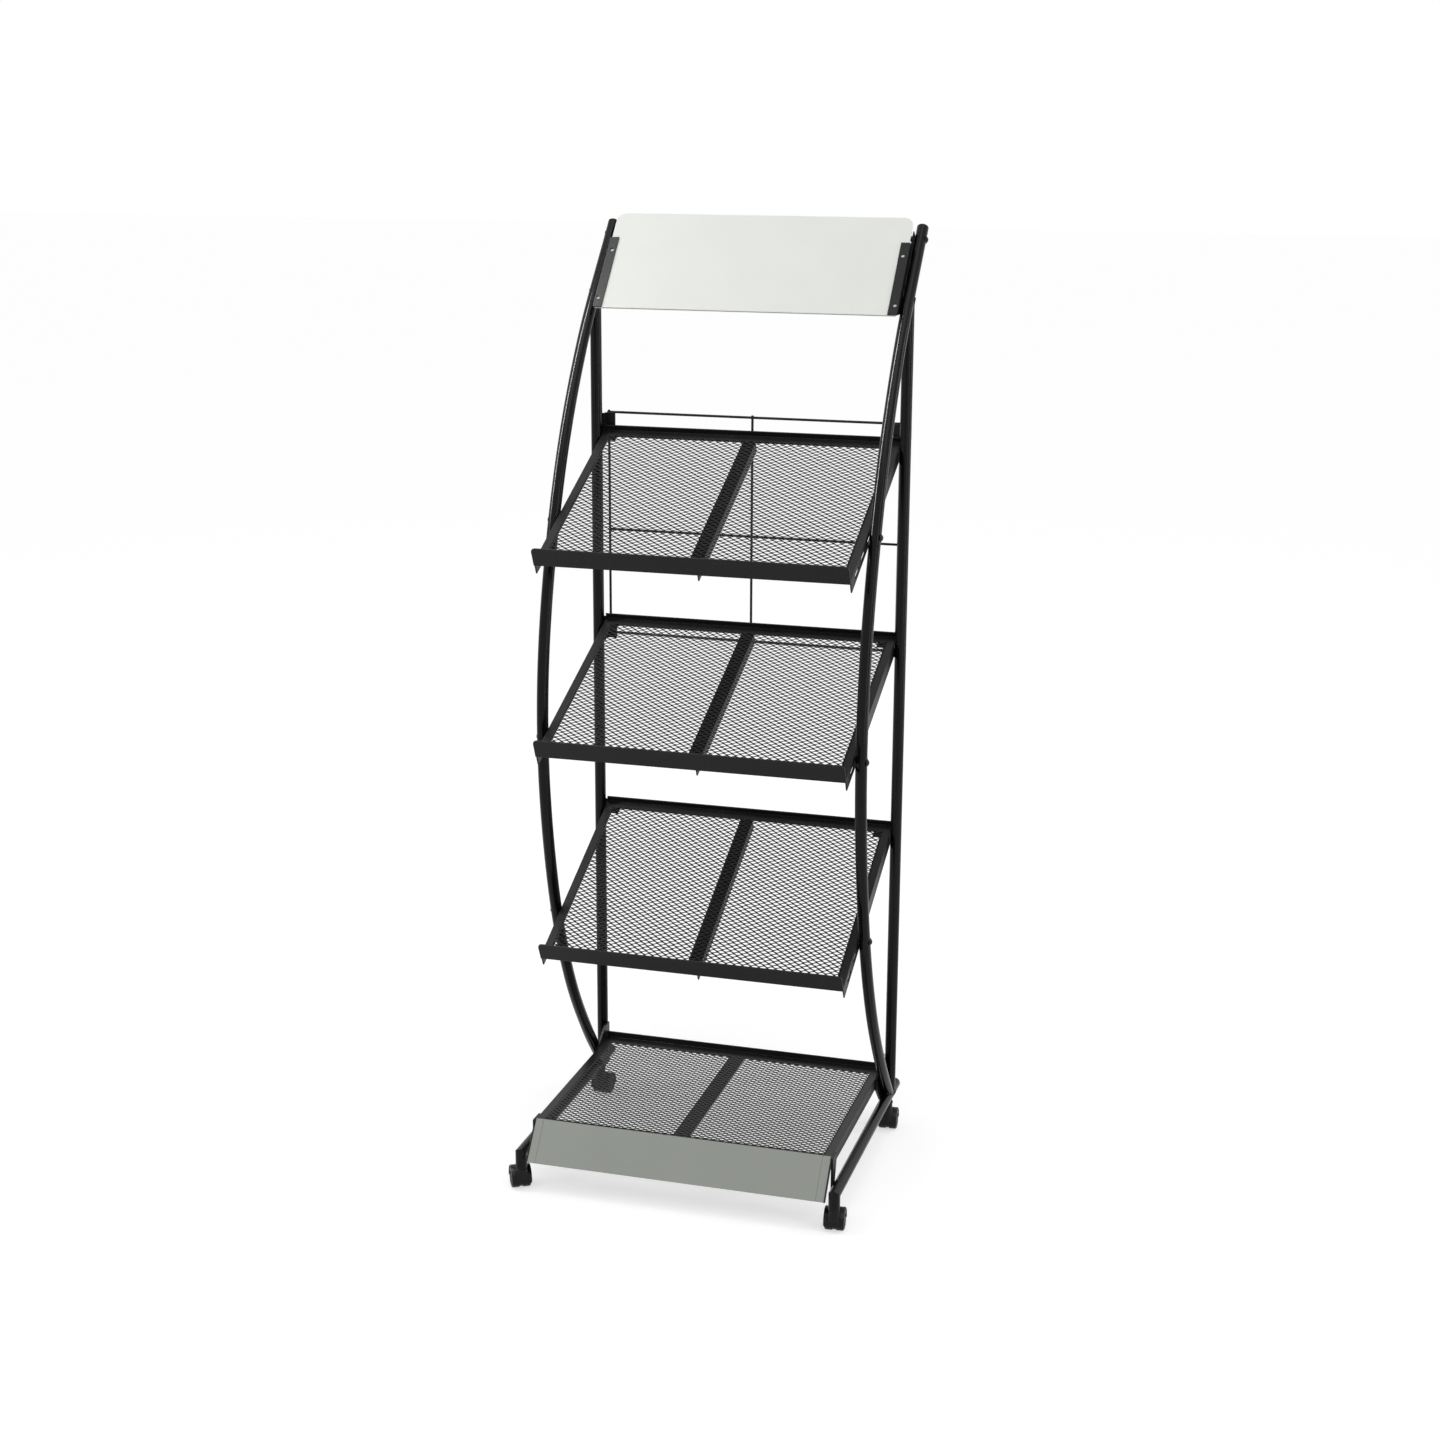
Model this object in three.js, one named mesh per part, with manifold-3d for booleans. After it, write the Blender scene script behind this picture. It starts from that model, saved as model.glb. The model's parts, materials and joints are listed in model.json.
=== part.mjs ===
// Periodical display rack: three sloping expanded-metal shelves and a level base tray
// between two bent tube side frames, with a header panel on top and four twin-wheel casters.
// Millimetres, +Z up, front at -Y.  Y is counted from the rear uprights, Z from the floor.
import * as THREE from "three";
import { mergeVertices } from "three/addons/utils/BufferGeometryUtils.js";
import Module from "manifold-3d";

const wasm = await Module();
wasm.setup();

// Gaps between pieces that touch, and between pieces that turn in one another
const GAP = 0.3;
const RUN = 0.06;
const CUT = 1; // a cutter runs this far past what it cuts
const ROOT = 2; // a joined piece reaches this far into the one it stands on

// Side frames: round steel tube, one plane on each side
const SPAN = 500; // between the centres of the two side frames
const TUBE_R = 9;
const TUBE_WALL = 1.5;
const TUBE_SIDES = 12;
const RAIL_Z = 62.5; // centre of the base rail above the floor
const RAIL_REAR = 42;
const LEG_Y = -388; // the rail turns down here into a short leg
const LEG_LOW = 37.5; // foot of the leg above the floor
const CAP_THICK = 2.5;
const CAP_PLUG = 4;
const BUSH_PLUG = 8; // the bush in the foot of the leg reaches this far up
const BOW_TOP = 1455;
const BOW_NECK = 177; // the bow leans back from here to its top
const BOW_SHOULDER = 359; // and begins to lean this far below its top
// Centre line of the bow tube from the rail up to its free end: [Y, Z]
const BOW = [
  [-8, RAIL_Z],
  [-77, 144],
  [-156, 262],
  [-221, 421],
  [-262, 650],
  [-250, 850],
  [-172, BOW_TOP - BOW_SHOULDER],
  [-65, BOW_TOP - BOW_NECK],
  [91, BOW_TOP],
];
const BOW_STEPS = 19;

// Shelves: folded sheet frame, mesh laid on it, centre bar below the mesh, front lip
const SHEET = 2;
const SHELF_HALF = SPAN / 2 - TUBE_R - GAP; // outer face of the side angles
const SHELF_LONG = 364;
const SHELF_REAR = 12.5;
const SIDE_FLANGE = 14;
const DOWN_FLANGE = 21;
const REAR_FLANGE = 18;
const REAR_LIP = 8.5;
const GUSSET = 12; // plate that fills each rear corner of a shelf frame
const LUG_OUT = 9; // lugs behind the uprights: beyond the side, above and below the shelf's top
const LUG_UP = 3;
const LUG_DOWN = 12;
const LIP_UP = 25.5;
const LIP_DOWN = 5;
const LIP_CORNER = 6;
// Row of slots in each side flange, by which a shelf is set on the bow tubes
const SLOT_COUNT = 3;
const SLOT_LONG = 26;
const SLOT_HIGH = 7.5;
const SLOT_FIRST = 39; // centre of the first slot behind the front edge
const SLOT_PITCH = 42;
const SLOT_DROP = 12; // centre of the slots below the top of the flange
const BAR_LEFT = -7.5; // the centre bar's edges
const BAR_RIGHT = 13.5;
const CENTRE_DOWN = 16.5;
// Rear edge of each shelf above the floor, and its fall to the front in degrees
const TOP_SHELF_Z = 1136.7;
const MIDDLE_SHELF_Z = 830;
const LOWER_SHELF_Z = 520;
const SHELVES = [
  { name: "shelf_top", rearZ: TOP_SHELF_Z, tilt: 25.4 },
  { name: "shelf_middle", rearZ: MIDDLE_SHELF_Z, tilt: 22.9 },
  { name: "shelf_lower", rearZ: LOWER_SHELF_Z, tilt: 25.8 },
];

// Expanded metal: thickness, width of a strand, openings across one bay
const MESH_THICK = 1.2;
const STRAND = 9;
const BAY_COLUMNS = 3;
const MESH_RATIO = 0.73; // short way of a diamond over its long way
const BAY_CLEAR = 1; // uncut sheet beside a flange
const BAR_CLEAR = 1.5; // uncut sheet beside the centre bar
const FRONT_BORDER = 5; // uncut sheet behind the front lip

// Base tray, held inside the tubes by stays of flat sheet
const STAY_SHEET = 3.4;
const STAY_OUT = SPAN / 2 - TUBE_R - GAP;
const STAY_IN = STAY_OUT - STAY_SHEET;
const TRAY_HALF = STAY_IN - GAP;
const TRAY_Z = 106.5;
const TRAY_REAR = -8;
const TRAY_FRONT = -353;
const TRAY_FLANGE = 14;
const TRAY_REAR_FLANGE = 24;
const TRAY_FRONT_FLANGE = 6;
const TRAY_LIP = 9.5;
const TRAY_DOWN = 18;
const TRAY_MESH_INSET = 1;
const TRAY_BAR_LEFT = -15.5;
const TRAY_BAR_RIGHT = 10.5;

// Sloping front panel below the tray
const PANEL_AHEAD = 3; // top edge in front of the tray
const PANEL_ABOVE = 0.5; // top edge above the tray
const PANEL_OUT = 43.5; // how far the slope comes forward
const PANEL_DROP = 54; // how far it comes down
const PANEL_TOP = [TRAY_FRONT - PANEL_AHEAD, TRAY_Z + PANEL_ABOVE];
const PANEL_BOTTOM = [PANEL_TOP[0] - PANEL_OUT, PANEL_TOP[1] - PANEL_DROP];
const PANEL_INSET = 1;
const PANEL_HALF = TRAY_HALF - PANEL_INSET;
const PANEL_STRIP = 12.6;
const PANEL_RETURN = 14; // flange behind the top edge, against the tray's front
const PANEL_HEM = 6;

// Tray stays: a strap in front and a plate behind on each side
const STRAP_WIDE = 26; // at the tray, and at the rail
const STRAP_NARROW = 11;
const STRAP_BELOW = 6; // foot of the strap below the rail's centre line
const STRAP_LOW = RAIL_Z - STRAP_BELOW;
const STRAP_AHEAD = 7; // front edge of the strap before the tray's front
const STRAP_FRONT = TRAY_FRONT - STRAP_AHEAD;
const PLATE_LONG = 55;
const PLATE_FOOT = 24;
const PLATE_HEAD = 20;
const PLATE_BEHIND = 6; // rear edge of the plate behind the tray's rear
const PLATE_REAR = TRAY_REAR + PLATE_BEHIND;
const PLATE_FRONT = PLATE_REAR - PLATE_LONG;
const PLATE_UP = 24;
const PLATE_BELOW = 4; // foot of the plate below the rail's centre line
const PLATE_LOW = RAIL_Z - PLATE_BELOW;
const PLATE_HOLE_IN = 14;
const PLATE_HOLE_R = 3.2;

// Header panel and the angle brackets that hold it to the bow tubes
const SIGN_DROP = 122; // lower edge of the panel below the top of the bow
const SIGN_FOOT = [-41, BOW_TOP - SIGN_DROP];
const SIGN_LEAN = 41.5; // degrees back from upright
const SIGN_PLAY = 0.7; // between the panel's edge and the bracket's wall
const SIGN_HIGH = 184;
const SIGN_THICK = 3;
const SIGN_CORNER = 15;
const BRACKET_SHEET = 1.6;
const SIGN_HALF = SHELF_HALF - BRACKET_SHEET - SIGN_PLAY;
const BRACKET_WIDE = 14.6;
const BRACKET_HIGH = 135;
const BRACKET_TAB = 164;
const BRACKET_DEEP = 29;
const BRACKET_STEP = 22; // the tab is this wide
// Holes of a bracket: height, and distance inside the middle of the flange
const BRACKET_HOLES = [[17.4, -1.5], [110, 1]];
const BRACKET_HOLE_R = 3.1;

// Wire grid behind the uprights and the clips that carry it
const WIRE_R = 2;
const WIRE_SIDES = 8;
const GRID_Y = 24;
const GRID_INSET = 3.2; // outer wires inside the shelves' sides
const GRID_HALF = SHELF_HALF - GRID_INSET;
const GRID_BELOW = 27.5; // lowest wire below the middle shelf's rear edge
const GRID_ABOVE = 25.8; // highest wire above the top shelf's rear edge
const GRID_RISE = 171; // from the lowest wire to the one between
const GRID_LOW = MIDDLE_SHELF_Z - GRID_BELOW;
const GRID_HEIGHTS = [GRID_LOW, GRID_LOW + GRID_RISE, TOP_SHELF_Z + GRID_ABOVE];
const WIRE_BITE = 0.6; // how far welded wires sink into each other
const WIRE_OVER = 4; // wire ends run this far past the wire they cross
const CLIP_SHEET = 2;
const CLIP_HIGH = 15;
const UPPER_CLIP_HIGH = 21;
const CLIP_REACH = 17;
const CLIP_DROP = 10.5; // the upper clips sit this far below the wire they hold
const CLIP_SHORT = 2; // a clip ends this far inside the tube's outer side

// Twin-wheel casters: the origin of each is its swivel axis on the floor
const CASTER_REAR = -14;
const TRAIL = 13;
const WHEEL_R = 16.5;
const WHEEL_WIDE = 13.1;
const WHEEL_SIDES = 16;
const HUB_R = 9.5;
const HUB_DISH = 1.2;
const WHEEL_ROUND = 1.2;
const WHEEL_DOME = 3.4; // the outer edge of the tread falls away by this much
const WEB_HALF = 1.7;
const WEB_R = 15.4;
const WHEEL_PLAY = 0.5;
const HOOD_GAP = 0.9;
const HOOD_THICK = 1.8;
const HOOD_DROP = 12; // degrees the hood reaches below the axle line
const HOOD_SIDES = 14;
const NECK_R = 8;
const STEM_R = 5;
const STEM_SIDES = 16;
const STEM_IN = 7;
const AXLE_R = 2.5;
const AXLE_SIDES = 12;
const RAIL_UNDER = RAIL_Z - TUBE_R;
const CASTERS = [
  { name: "front_left", x: -SPAN / 2, y: LEG_Y, under: LEG_LOW, turn: 30 },
  { name: "front_right", x: SPAN / 2, y: LEG_Y, under: LEG_LOW, turn: 6 },
  { name: "rear_left", x: -SPAN / 2, y: CASTER_REAR, under: RAIL_UNDER, turn: -4 },
  { name: "rear_right", x: SPAN / 2, y: CASTER_REAR, under: RAIL_UNDER, turn: 5 },
];

const BLACK = { color: 0x1d1e20, metalness: 0.35, roughness: 0.5 };
const MESH_BLACK = { color: 0x2a2b2d, metalness: 0.35, roughness: 0.55 };
const WIRE_BLACK = { color: 0x202124, metalness: 0.4, roughness: 0.45 };
const WHITE = { color: 0xe6e8e2, metalness: 0, roughness: 0.55 };
const GREY = { color: 0x8f928c, metalness: 0.2, roughness: 0.55 };
const PLASTIC = { color: 0x151617, metalness: 0, roughness: 0.5 };
const STEEL = { color: 0x9a9c9e, metalness: 0.9, roughness: 0.35 };

const root = new THREE.Group();
root.name = "periodical_display_rack";
const rad = THREE.MathUtils.degToRad;

// Solids made from three.js geometry, and joined or cut as manifolds

function solid(geometry) {
  const bare = new THREE.BufferGeometry();
  bare.setAttribute("position", geometry.getAttribute("position"));
  bare.setIndex(geometry.index);
  const merged = mergeVertices(bare, 1e-4);
  const kept = [];
  const index = merged.index.array;
  for (let i = 0; i < index.length; i += 3) {
    const [a, b, c] = [index[i], index[i + 1], index[i + 2]];
    if (a !== b && b !== c && c !== a) kept.push(a, b, c);
  }
  return new wasm.Manifold(
    new wasm.Mesh({
      numProp: 3,
      vertProperties: new Float32Array(merged.attributes.position.array),
      triVerts: new Uint32Array(kept),
    }),
  );
}

function join(...pieces) {
  return wasm.Manifold.union(pieces);
}

function cut(body, ...tools) {
  return tools.reduce((left, tool) => left.subtract(tool), body);
}

function addNode(name, body, look, matrix = new THREE.Matrix4()) {
  const mesh = body.getMesh();
  const geometry = new THREE.BufferGeometry();
  const stride = mesh.numProp;
  const points = new Float32Array((mesh.vertProperties.length / stride) * 3);
  for (let i = 0; i < points.length / 3; i++) {
    for (let k = 0; k < 3; k++) points[3 * i + k] = mesh.vertProperties[stride * i + k];
  }
  geometry.setAttribute("position", new THREE.BufferAttribute(points, 3));
  geometry.setIndex(new THREE.BufferAttribute(new Uint32Array(mesh.triVerts), 1));
  geometry.applyMatrix4(matrix);
  const flat = geometry.toNonIndexed();
  flat.computeVertexNormals();
  const node = new THREE.Mesh(flat, new THREE.MeshStandardMaterial(look));
  node.name = name;
  root.add(node);
}

function block(x0, x1, y0, y1, z0, z1) {
  const geometry = new THREE.BoxGeometry(x1 - x0, y1 - y0, z1 - z0);
  geometry.translate((x0 + x1) / 2, (y0 + y1) / 2, (z0 + z1) / 2);
  return solid(geometry);
}

// A round bar between two points
function rod(from, to, radius, sides) {
  const a = new THREE.Vector3(...from);
  const b = new THREE.Vector3(...to);
  const geometry = new THREE.CylinderGeometry(radius, radius, a.distanceTo(b), sides);
  const along = b.clone().sub(a).normalize();
  geometry.applyQuaternion(
    new THREE.Quaternion().setFromUnitVectors(new THREE.Vector3(0, 1, 0), along),
  );
  geometry.translate((a.x + b.x) / 2, (a.y + b.y) / 2, (a.z + b.z) / 2);
  return solid(geometry);
}

// A flat outline of [a, b] points pushed along the third axis.
// "x": the outline lies in YZ and runs from x0 to x1.  "z": it lies in XY.
function plate(outline, axis, from, to, holes = []) {
  const path = (points) => points.map(([a, b]) => new THREE.Vector2(a, b));
  const shape = new THREE.Shape(path(outline));
  for (const hole of holes) shape.holes.push(new THREE.Path(path(hole)));
  const geometry = new THREE.ExtrudeGeometry(shape, {
    depth: to - from,
    bevelEnabled: false,
    curveSegments: 1,
  });
  geometry.translate(0, 0, from);
  if (axis === "x") {
    geometry.applyMatrix4(
      new THREE.Matrix4().set(0, 0, 1, 0, 1, 0, 0, 0, 0, 1, 0, 0, 0, 0, 0, 1),
    );
  }
  if (axis === "y") {
    geometry.applyMatrix4(
      new THREE.Matrix4().set(1, 0, 0, 0, 0, 0, -1, 0, 0, 1, 0, 0, 0, 0, 0, 1),
    );
  }
  return solid(geometry);
}

// A ring of [radius, height] points turned about Z; a ring that starts on the axis is closed there
function turned(profile, sides) {
  const points = [];
  const faces = [];
  const rows = profile.map(([r, z]) => {
    const row = [];
    const count = r === 0 ? 1 : sides;
    for (let i = 0; i < count; i++) {
      const angle = (2 * Math.PI * i) / sides;
      row.push(points.length / 3);
      points.push(r * Math.cos(angle), r * Math.sin(angle), z);
    }
    return row;
  });
  const open = profile[0][0] === 0;
  const last = open ? rows.length - 1 : rows.length;
  for (let k = 0; k < last; k++) {
    const low = rows[k];
    const high = rows[(k + 1) % rows.length];
    for (let i = 0; i < sides; i++) {
      const j = (i + 1) % sides;
      const [a, b] = [low[i % low.length], low[j % low.length]];
      const [c, d] = [high[i % high.length], high[j % high.length]];
      if (a !== b) faces.push(a, b, d);
      if (c !== d) faces.push(a, d, c);
    }
  }
  const geometry = new THREE.BufferGeometry();
  geometry.setAttribute("position", new THREE.Float32BufferAttribute(points, 3));
  geometry.setIndex(faces);
  return solid(geometry);
}

// A tube along a path that stays in one plane of constant X; inner radius 0 makes it solid
function tubeAlong(path, x, radius, inner) {
  const points = [];
  const faces = [];
  const side = new THREE.Vector3(1, 0, 0);
  const ring = (k, r) => {
    const before = path[Math.max(k - 1, 0)];
    const after = path[Math.min(k + 1, path.length - 1)];
    const way = [path[k].clone().sub(before), after.clone().sub(path[k])].map((v) => v.normalize());
    const along = way[0].clone().add(way[1]).normalize();
    const mitre = 1 / Math.max(along.dot(way[0]), along.dot(way[1]));
    const up = new THREE.Vector3().crossVectors(along, side).multiplyScalar(mitre);
    const start = points.length / 3;
    for (let i = 0; i < TUBE_SIDES; i++) {
      const angle = (2 * Math.PI * (i + 0.5)) / TUBE_SIDES;
      const p = path[k]
        .clone()
        .addScaledVector(side, r * Math.cos(angle) + x)
        .addScaledVector(up, r * Math.sin(angle));
      points.push(p.x, p.y, p.z);
    }
    return start;
  };
  const quad = (a, b, c, d) => faces.push(a, b, c, a, c, d);
  const outer = path.map((_, k) => ring(k, radius));
  const bore = inner > 0 ? path.map((_, k) => ring(k, inner)) : null;
  const end = path.length - 1;
  for (let i = 0; i < TUBE_SIDES; i++) {
    const j = (i + 1) % TUBE_SIDES;
    for (let k = 0; k < end; k++) {
      quad(outer[k] + i, outer[k] + j, outer[k + 1] + j, outer[k + 1] + i);
      if (bore) quad(bore[k] + i, bore[k + 1] + i, bore[k + 1] + j, bore[k] + j);
    }
    if (bore) {
      quad(outer[0] + i, bore[0] + i, bore[0] + j, outer[0] + j);
      quad(outer[end] + i, outer[end] + j, bore[end] + j, bore[end] + i);
    } else if (i > 0 && i < TUBE_SIDES - 1) {
      faces.push(outer[0], outer[0] + j, outer[0] + i);
      faces.push(outer[end], outer[end] + i, outer[end] + j);
    }
  }
  const geometry = new THREE.BufferGeometry();
  geometry.setAttribute("position", new THREE.Float32BufferAttribute(points, 3));
  geometry.setIndex(faces);
  return solid(geometry);
}

const inPlane = (y, z) => new THREE.Vector3(0, y, z);
const straight = (y0, z0, y1, z1) => [inPlane(y0, z0), inPlane(y1, z1)];
const bowCurve = new THREE.CatmullRomCurve3(
  BOW.map(([y, z]) => inPlane(y, z)),
  false,
  "centripetal",
);
const bowPath = bowCurve.getSpacedPoints(BOW_STEPS);
const bowFine = bowCurve.getSpacedPoints(400);

// Height at which the bow tube's centre line passes over the uprights
const crossing = bowFine.find((p, k) => k > 200 && p.y >= 0);

// Caster: swivel axis on Z, axle along X, wheels trailing towards +Y
function casterMatrix({ x, y, turn }) {
  return new THREE.Matrix4().makeTranslation(x, y, 0).multiply(
    new THREE.Matrix4().makeRotationZ(rad(turn)),
  );
}

function buildCaster(caster) {
  const place = casterMatrix(caster);
  const axleZ = WHEEL_R;
  const wheelIn = WEB_HALF + WHEEL_PLAY;
  const wheelOut = wheelIn + WHEEL_WIDE;
  const hoodIn = WHEEL_R + HOOD_GAP;
  const hoodOut = hoodIn + HOOD_THICK;
  const neckTop = caster.under - GAP;

  // Hood: an arched cover over both wheels, a web between them, the neck and the stem
  const arch = [];
  const sweep = 180 + 2 * HOOD_DROP;
  for (let i = 0; i <= HOOD_SIDES; i++) {
    const angle = rad(-HOOD_DROP + (sweep * i) / HOOD_SIDES);
    arch.push([TRAIL + hoodOut * Math.cos(angle), axleZ + hoodOut * Math.sin(angle)]);
  }
  const cover = plate(arch, "x", -wheelOut - WHEEL_PLAY, wheelOut + WHEEL_PLAY);
  const hollow = (side) =>
    rod(
      [side * WEB_HALF, TRAIL, axleZ],
      [side * (wheelOut + WHEEL_PLAY + CUT), TRAIL, axleZ],
      hoodIn,
      WHEEL_SIDES,
    );
  const neck = rod([0, 0, axleZ + ROOT], [0, 0, neckTop], NECK_R, STEM_SIDES);
  const stem = rod([0, 0, neckTop - ROOT], [0, 0, neckTop + GAP + STEM_IN], STEM_R, STEM_SIDES);
  const axleReach = WEB_HALF + CUT;
  const axleHole = rod([-axleReach, TRAIL, axleZ], [axleReach, TRAIL, axleZ], AXLE_R, AXLE_SIDES);
  const web = rod([-WEB_HALF, TRAIL, axleZ], [WEB_HALF, TRAIL, axleZ], WEB_R, WHEEL_SIDES);
  const body = cut(join(cover, neck, stem), hollow(1), hollow(-1));
  const hood = cut(join(body, web), axleHole);
  addNode(`caster_${caster.name}_hood`, hood, PLASTIC, place);

  const axleHalf = wheelOut - 2 * HUB_DISH;
  const axle = rod(
    [-axleHalf, TRAIL, axleZ],
    [axleHalf, TRAIL, axleZ],
    AXLE_R - RUN,
    AXLE_SIDES,
  );
  addNode(`caster_${caster.name}_axle`, axle, STEEL, place);

  // Wheel: rounded tread, dished hub, bore that runs on the axle
  const w = WHEEL_WIDE;
  const bore = AXLE_R;
  const profile = [
    [bore, 0],
    [WHEEL_R - WHEEL_ROUND, 0],
    [WHEEL_R, WHEEL_ROUND],
    [WHEEL_R, w - WHEEL_DOME],
    [WHEEL_R - WHEEL_DOME * 0.3, w - WHEEL_DOME * 0.4],
    [WHEEL_R - WHEEL_DOME, w],
    [HUB_R, w],
    [HUB_R - HUB_DISH, w - HUB_DISH],
    [bore, w - HUB_DISH],
  ];
  const blank = turned(profile, WHEEL_SIDES);
  for (const [label, side] of [["left", -1], ["right", 1]]) {
    // a flat of the tread faces the floor
    const pose = new THREE.Matrix4()
      .makeTranslation(side * wheelIn, TRAIL, axleZ)
      .multiply(new THREE.Matrix4().makeRotationY((side * Math.PI) / 2))
      .multiply(new THREE.Matrix4().makeRotationZ(Math.PI / WHEEL_SIDES));
    addNode(`caster_${caster.name}_wheel_${label}`, blank, PLASTIC, place.clone().multiply(pose));
  }
}

// Side frames
function buildSide(label, side) {
  const x = (side * SPAN) / 2;
  const inner = TUBE_R - TUBE_WALL;
  const railPath = [
    inPlane(LEG_Y, LEG_LOW + CAP_THICK),
    inPlane(LEG_Y, RAIL_Z),
    inPlane(RAIL_REAR - CAP_THICK, RAIL_Z),
  ];
  const railRoom = tubeAlong(straight(LEG_Y, RAIL_Z, RAIL_REAR, RAIL_Z), x, TUBE_R + GAP, 0);
  // hole in which the rear caster's stem turns; the flats of the hole clear the stem's corners
  const stemHole = (STEM_R + RUN) / Math.cos(Math.PI / STEM_SIDES);
  const rail = cut(
    tubeAlong(railPath, x, TUBE_R, inner),
    rod([x, CASTER_REAR, RAIL_UNDER - CUT], [x, CASTER_REAR, RAIL_Z], stemHole, STEM_SIDES),
  );
  addNode(`base_rail_${label}`, rail, BLACK);

  const uprightPath = straight(0, RAIL_Z, 0, crossing.z + 2 * TUBE_R);
  const bowRoom = tubeAlong(bowPath, x, TUBE_R + GAP, 0);
  const uprightRoom = tubeAlong(
    straight(0, RAIL_Z, 0, crossing.z / 2), x, TUBE_R + GAP, 0,
  );
  const upright = cut(
    tubeAlong(uprightPath, x, TUBE_R, inner), railRoom, bowTop(bowRoom), aboveBow(x),
  );
  addNode(`rear_upright_${label}`, upright, BLACK);

  const bow = cut(tubeAlong(bowPath, x, TUBE_R, inner), railRoom, uprightRoom);
  addNode(`bow_tube_${label}`, bow, BLACK);

  // Plugs in the open tube ends
  const capProfile = [
    [0, CAP_THICK],
    [TUBE_R * 0.6, CAP_THICK],
    [TUBE_R, CAP_THICK * 0.35],
    [TUBE_R, GAP],
    [inner - GAP, GAP],
    [inner - GAP, -CAP_PLUG],
    [0, -CAP_PLUG],
  ].reverse();
  const cap = turned(capProfile, TUBE_SIDES);
  const capAt = (y, z, dy, dz) => {
    const turn = new THREE.Quaternion().setFromUnitVectors(
      new THREE.Vector3(0, 0, 1),
      new THREE.Vector3(0, dy, dz).normalize(),
    );
    return new THREE.Matrix4().compose(
      new THREE.Vector3(x, y, z), turn, new THREE.Vector3(1, 1, 1),
    );
  };
  addNode(`rail_cap_rear_${label}`, cap, PLASTIC, capAt(RAIL_REAR - CAP_THICK, RAIL_Z, 1, 0));

  // Bush in the foot of the leg, in which the front caster's stem turns
  const bore = (STEM_R + RUN) / Math.cos(Math.PI / TUBE_SIDES);
  const bushProfile = [
    [bore, -BUSH_PLUG],
    [inner - GAP, -BUSH_PLUG],
    [inner - GAP, GAP],
    [TUBE_R, GAP],
    [TUBE_R, CAP_THICK],
    [bore, CAP_THICK],
  ];
  const bush = turned(bushProfile, TUBE_SIDES);
  addNode(`leg_bush_${label}`, bush, PLASTIC, capAt(LEG_Y, LEG_LOW + CAP_THICK, 0, -1));
  const top = bowPath[BOW_STEPS];
  const way = top.clone().sub(bowPath[BOW_STEPS - 1]);
  addNode(`bow_cap_${label}`, cap, PLASTIC, capAt(top.y, top.z, way.y, way.z));
}

// Only the upper half of the bow is cut from the top of the upright
function bowTop(room) {
  const high = crossing.z / 2;
  const wide = SPAN;
  return cut(room, block(-wide, wide, -wide, wide, -wide, high));
}

// All that stands above the bow's centre line, so that the upright ends below the bow
function aboveBow(x) {
  const upper = bowPath.filter((p) => p.z > crossing.z / 2).map((p) => [p.y, p.z]);
  const [topY, topZ] = upper[upper.length - 1];
  const outline = [...upper, [topY, topZ + SPAN], [-SPAN, topZ + SPAN], [-SPAN, upper[0][1]]];
  return plate(outline, "x", x - TUBE_R - CUT, x + TUBE_R + CUT);
}

function shelfMatrix({ rearZ, tilt }) {
  return new THREE.Matrix4()
    .makeTranslation(0, SHELF_REAR, rearZ)
    .multiply(new THREE.Matrix4().makeRotationX(rad(tilt)));
}

// A slot with round ends
function stadium(cy, cz, long, high) {
  const r = high / 2;
  const reach = long / 2 - r;
  const points = [];
  for (const [sign, start] of [[1, -90], [-1, 90]]) {
    for (let i = 0; i <= 3; i++) {
      const angle = rad(start + 60 * i);
      points.push([cy + sign * reach + r * Math.cos(angle), cz + r * Math.sin(angle)]);
    }
  }
  return points;
}

// Diamond openings of one sheet of expanded metal, staggered row by row inside a bay
function bayOpenings(x0, x1, y0, y1) {
  const long = (x1 - x0) / BAY_COLUMNS;
  const rows = Math.max(2, Math.round((2 * (y1 - y0)) / (long * MESH_RATIO)) - 1);
  const step = (y1 - y0) / (rows + 1);
  const halfLong = (long - STRAND) / 2;
  const halfShort = step - STRAND / 2;
  const openings = [];
  for (let row = 0; row < rows; row++) {
    const shifted = row % 2;
    for (let col = 0; col < BAY_COLUMNS - shifted; col++) {
      const cx = x0 + long * (col + 0.5 + shifted / 2);
      const cy = y0 + step * (row + 1);
      openings.push([
        [cx - halfLong, cy],
        [cx, cy - halfShort],
        [cx + halfLong, cy],
        [cx, cy + halfShort],
      ]);
    }
  }
  return openings;
}

function meshSheet(half, front, rear, bayIn, bayOut, bayFront, bayRear) {
  const outline = [[-half, front], [half, front], [half, rear], [-half, rear]];
  const holes = [
    ...bayOpenings(-bayOut, -bayIn, bayFront, bayRear),
    ...bayOpenings(bayIn, bayOut, bayFront, bayRear),
  ];
  return plate(outline, "z", GAP, GAP + MESH_THICK, holes);
}

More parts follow.
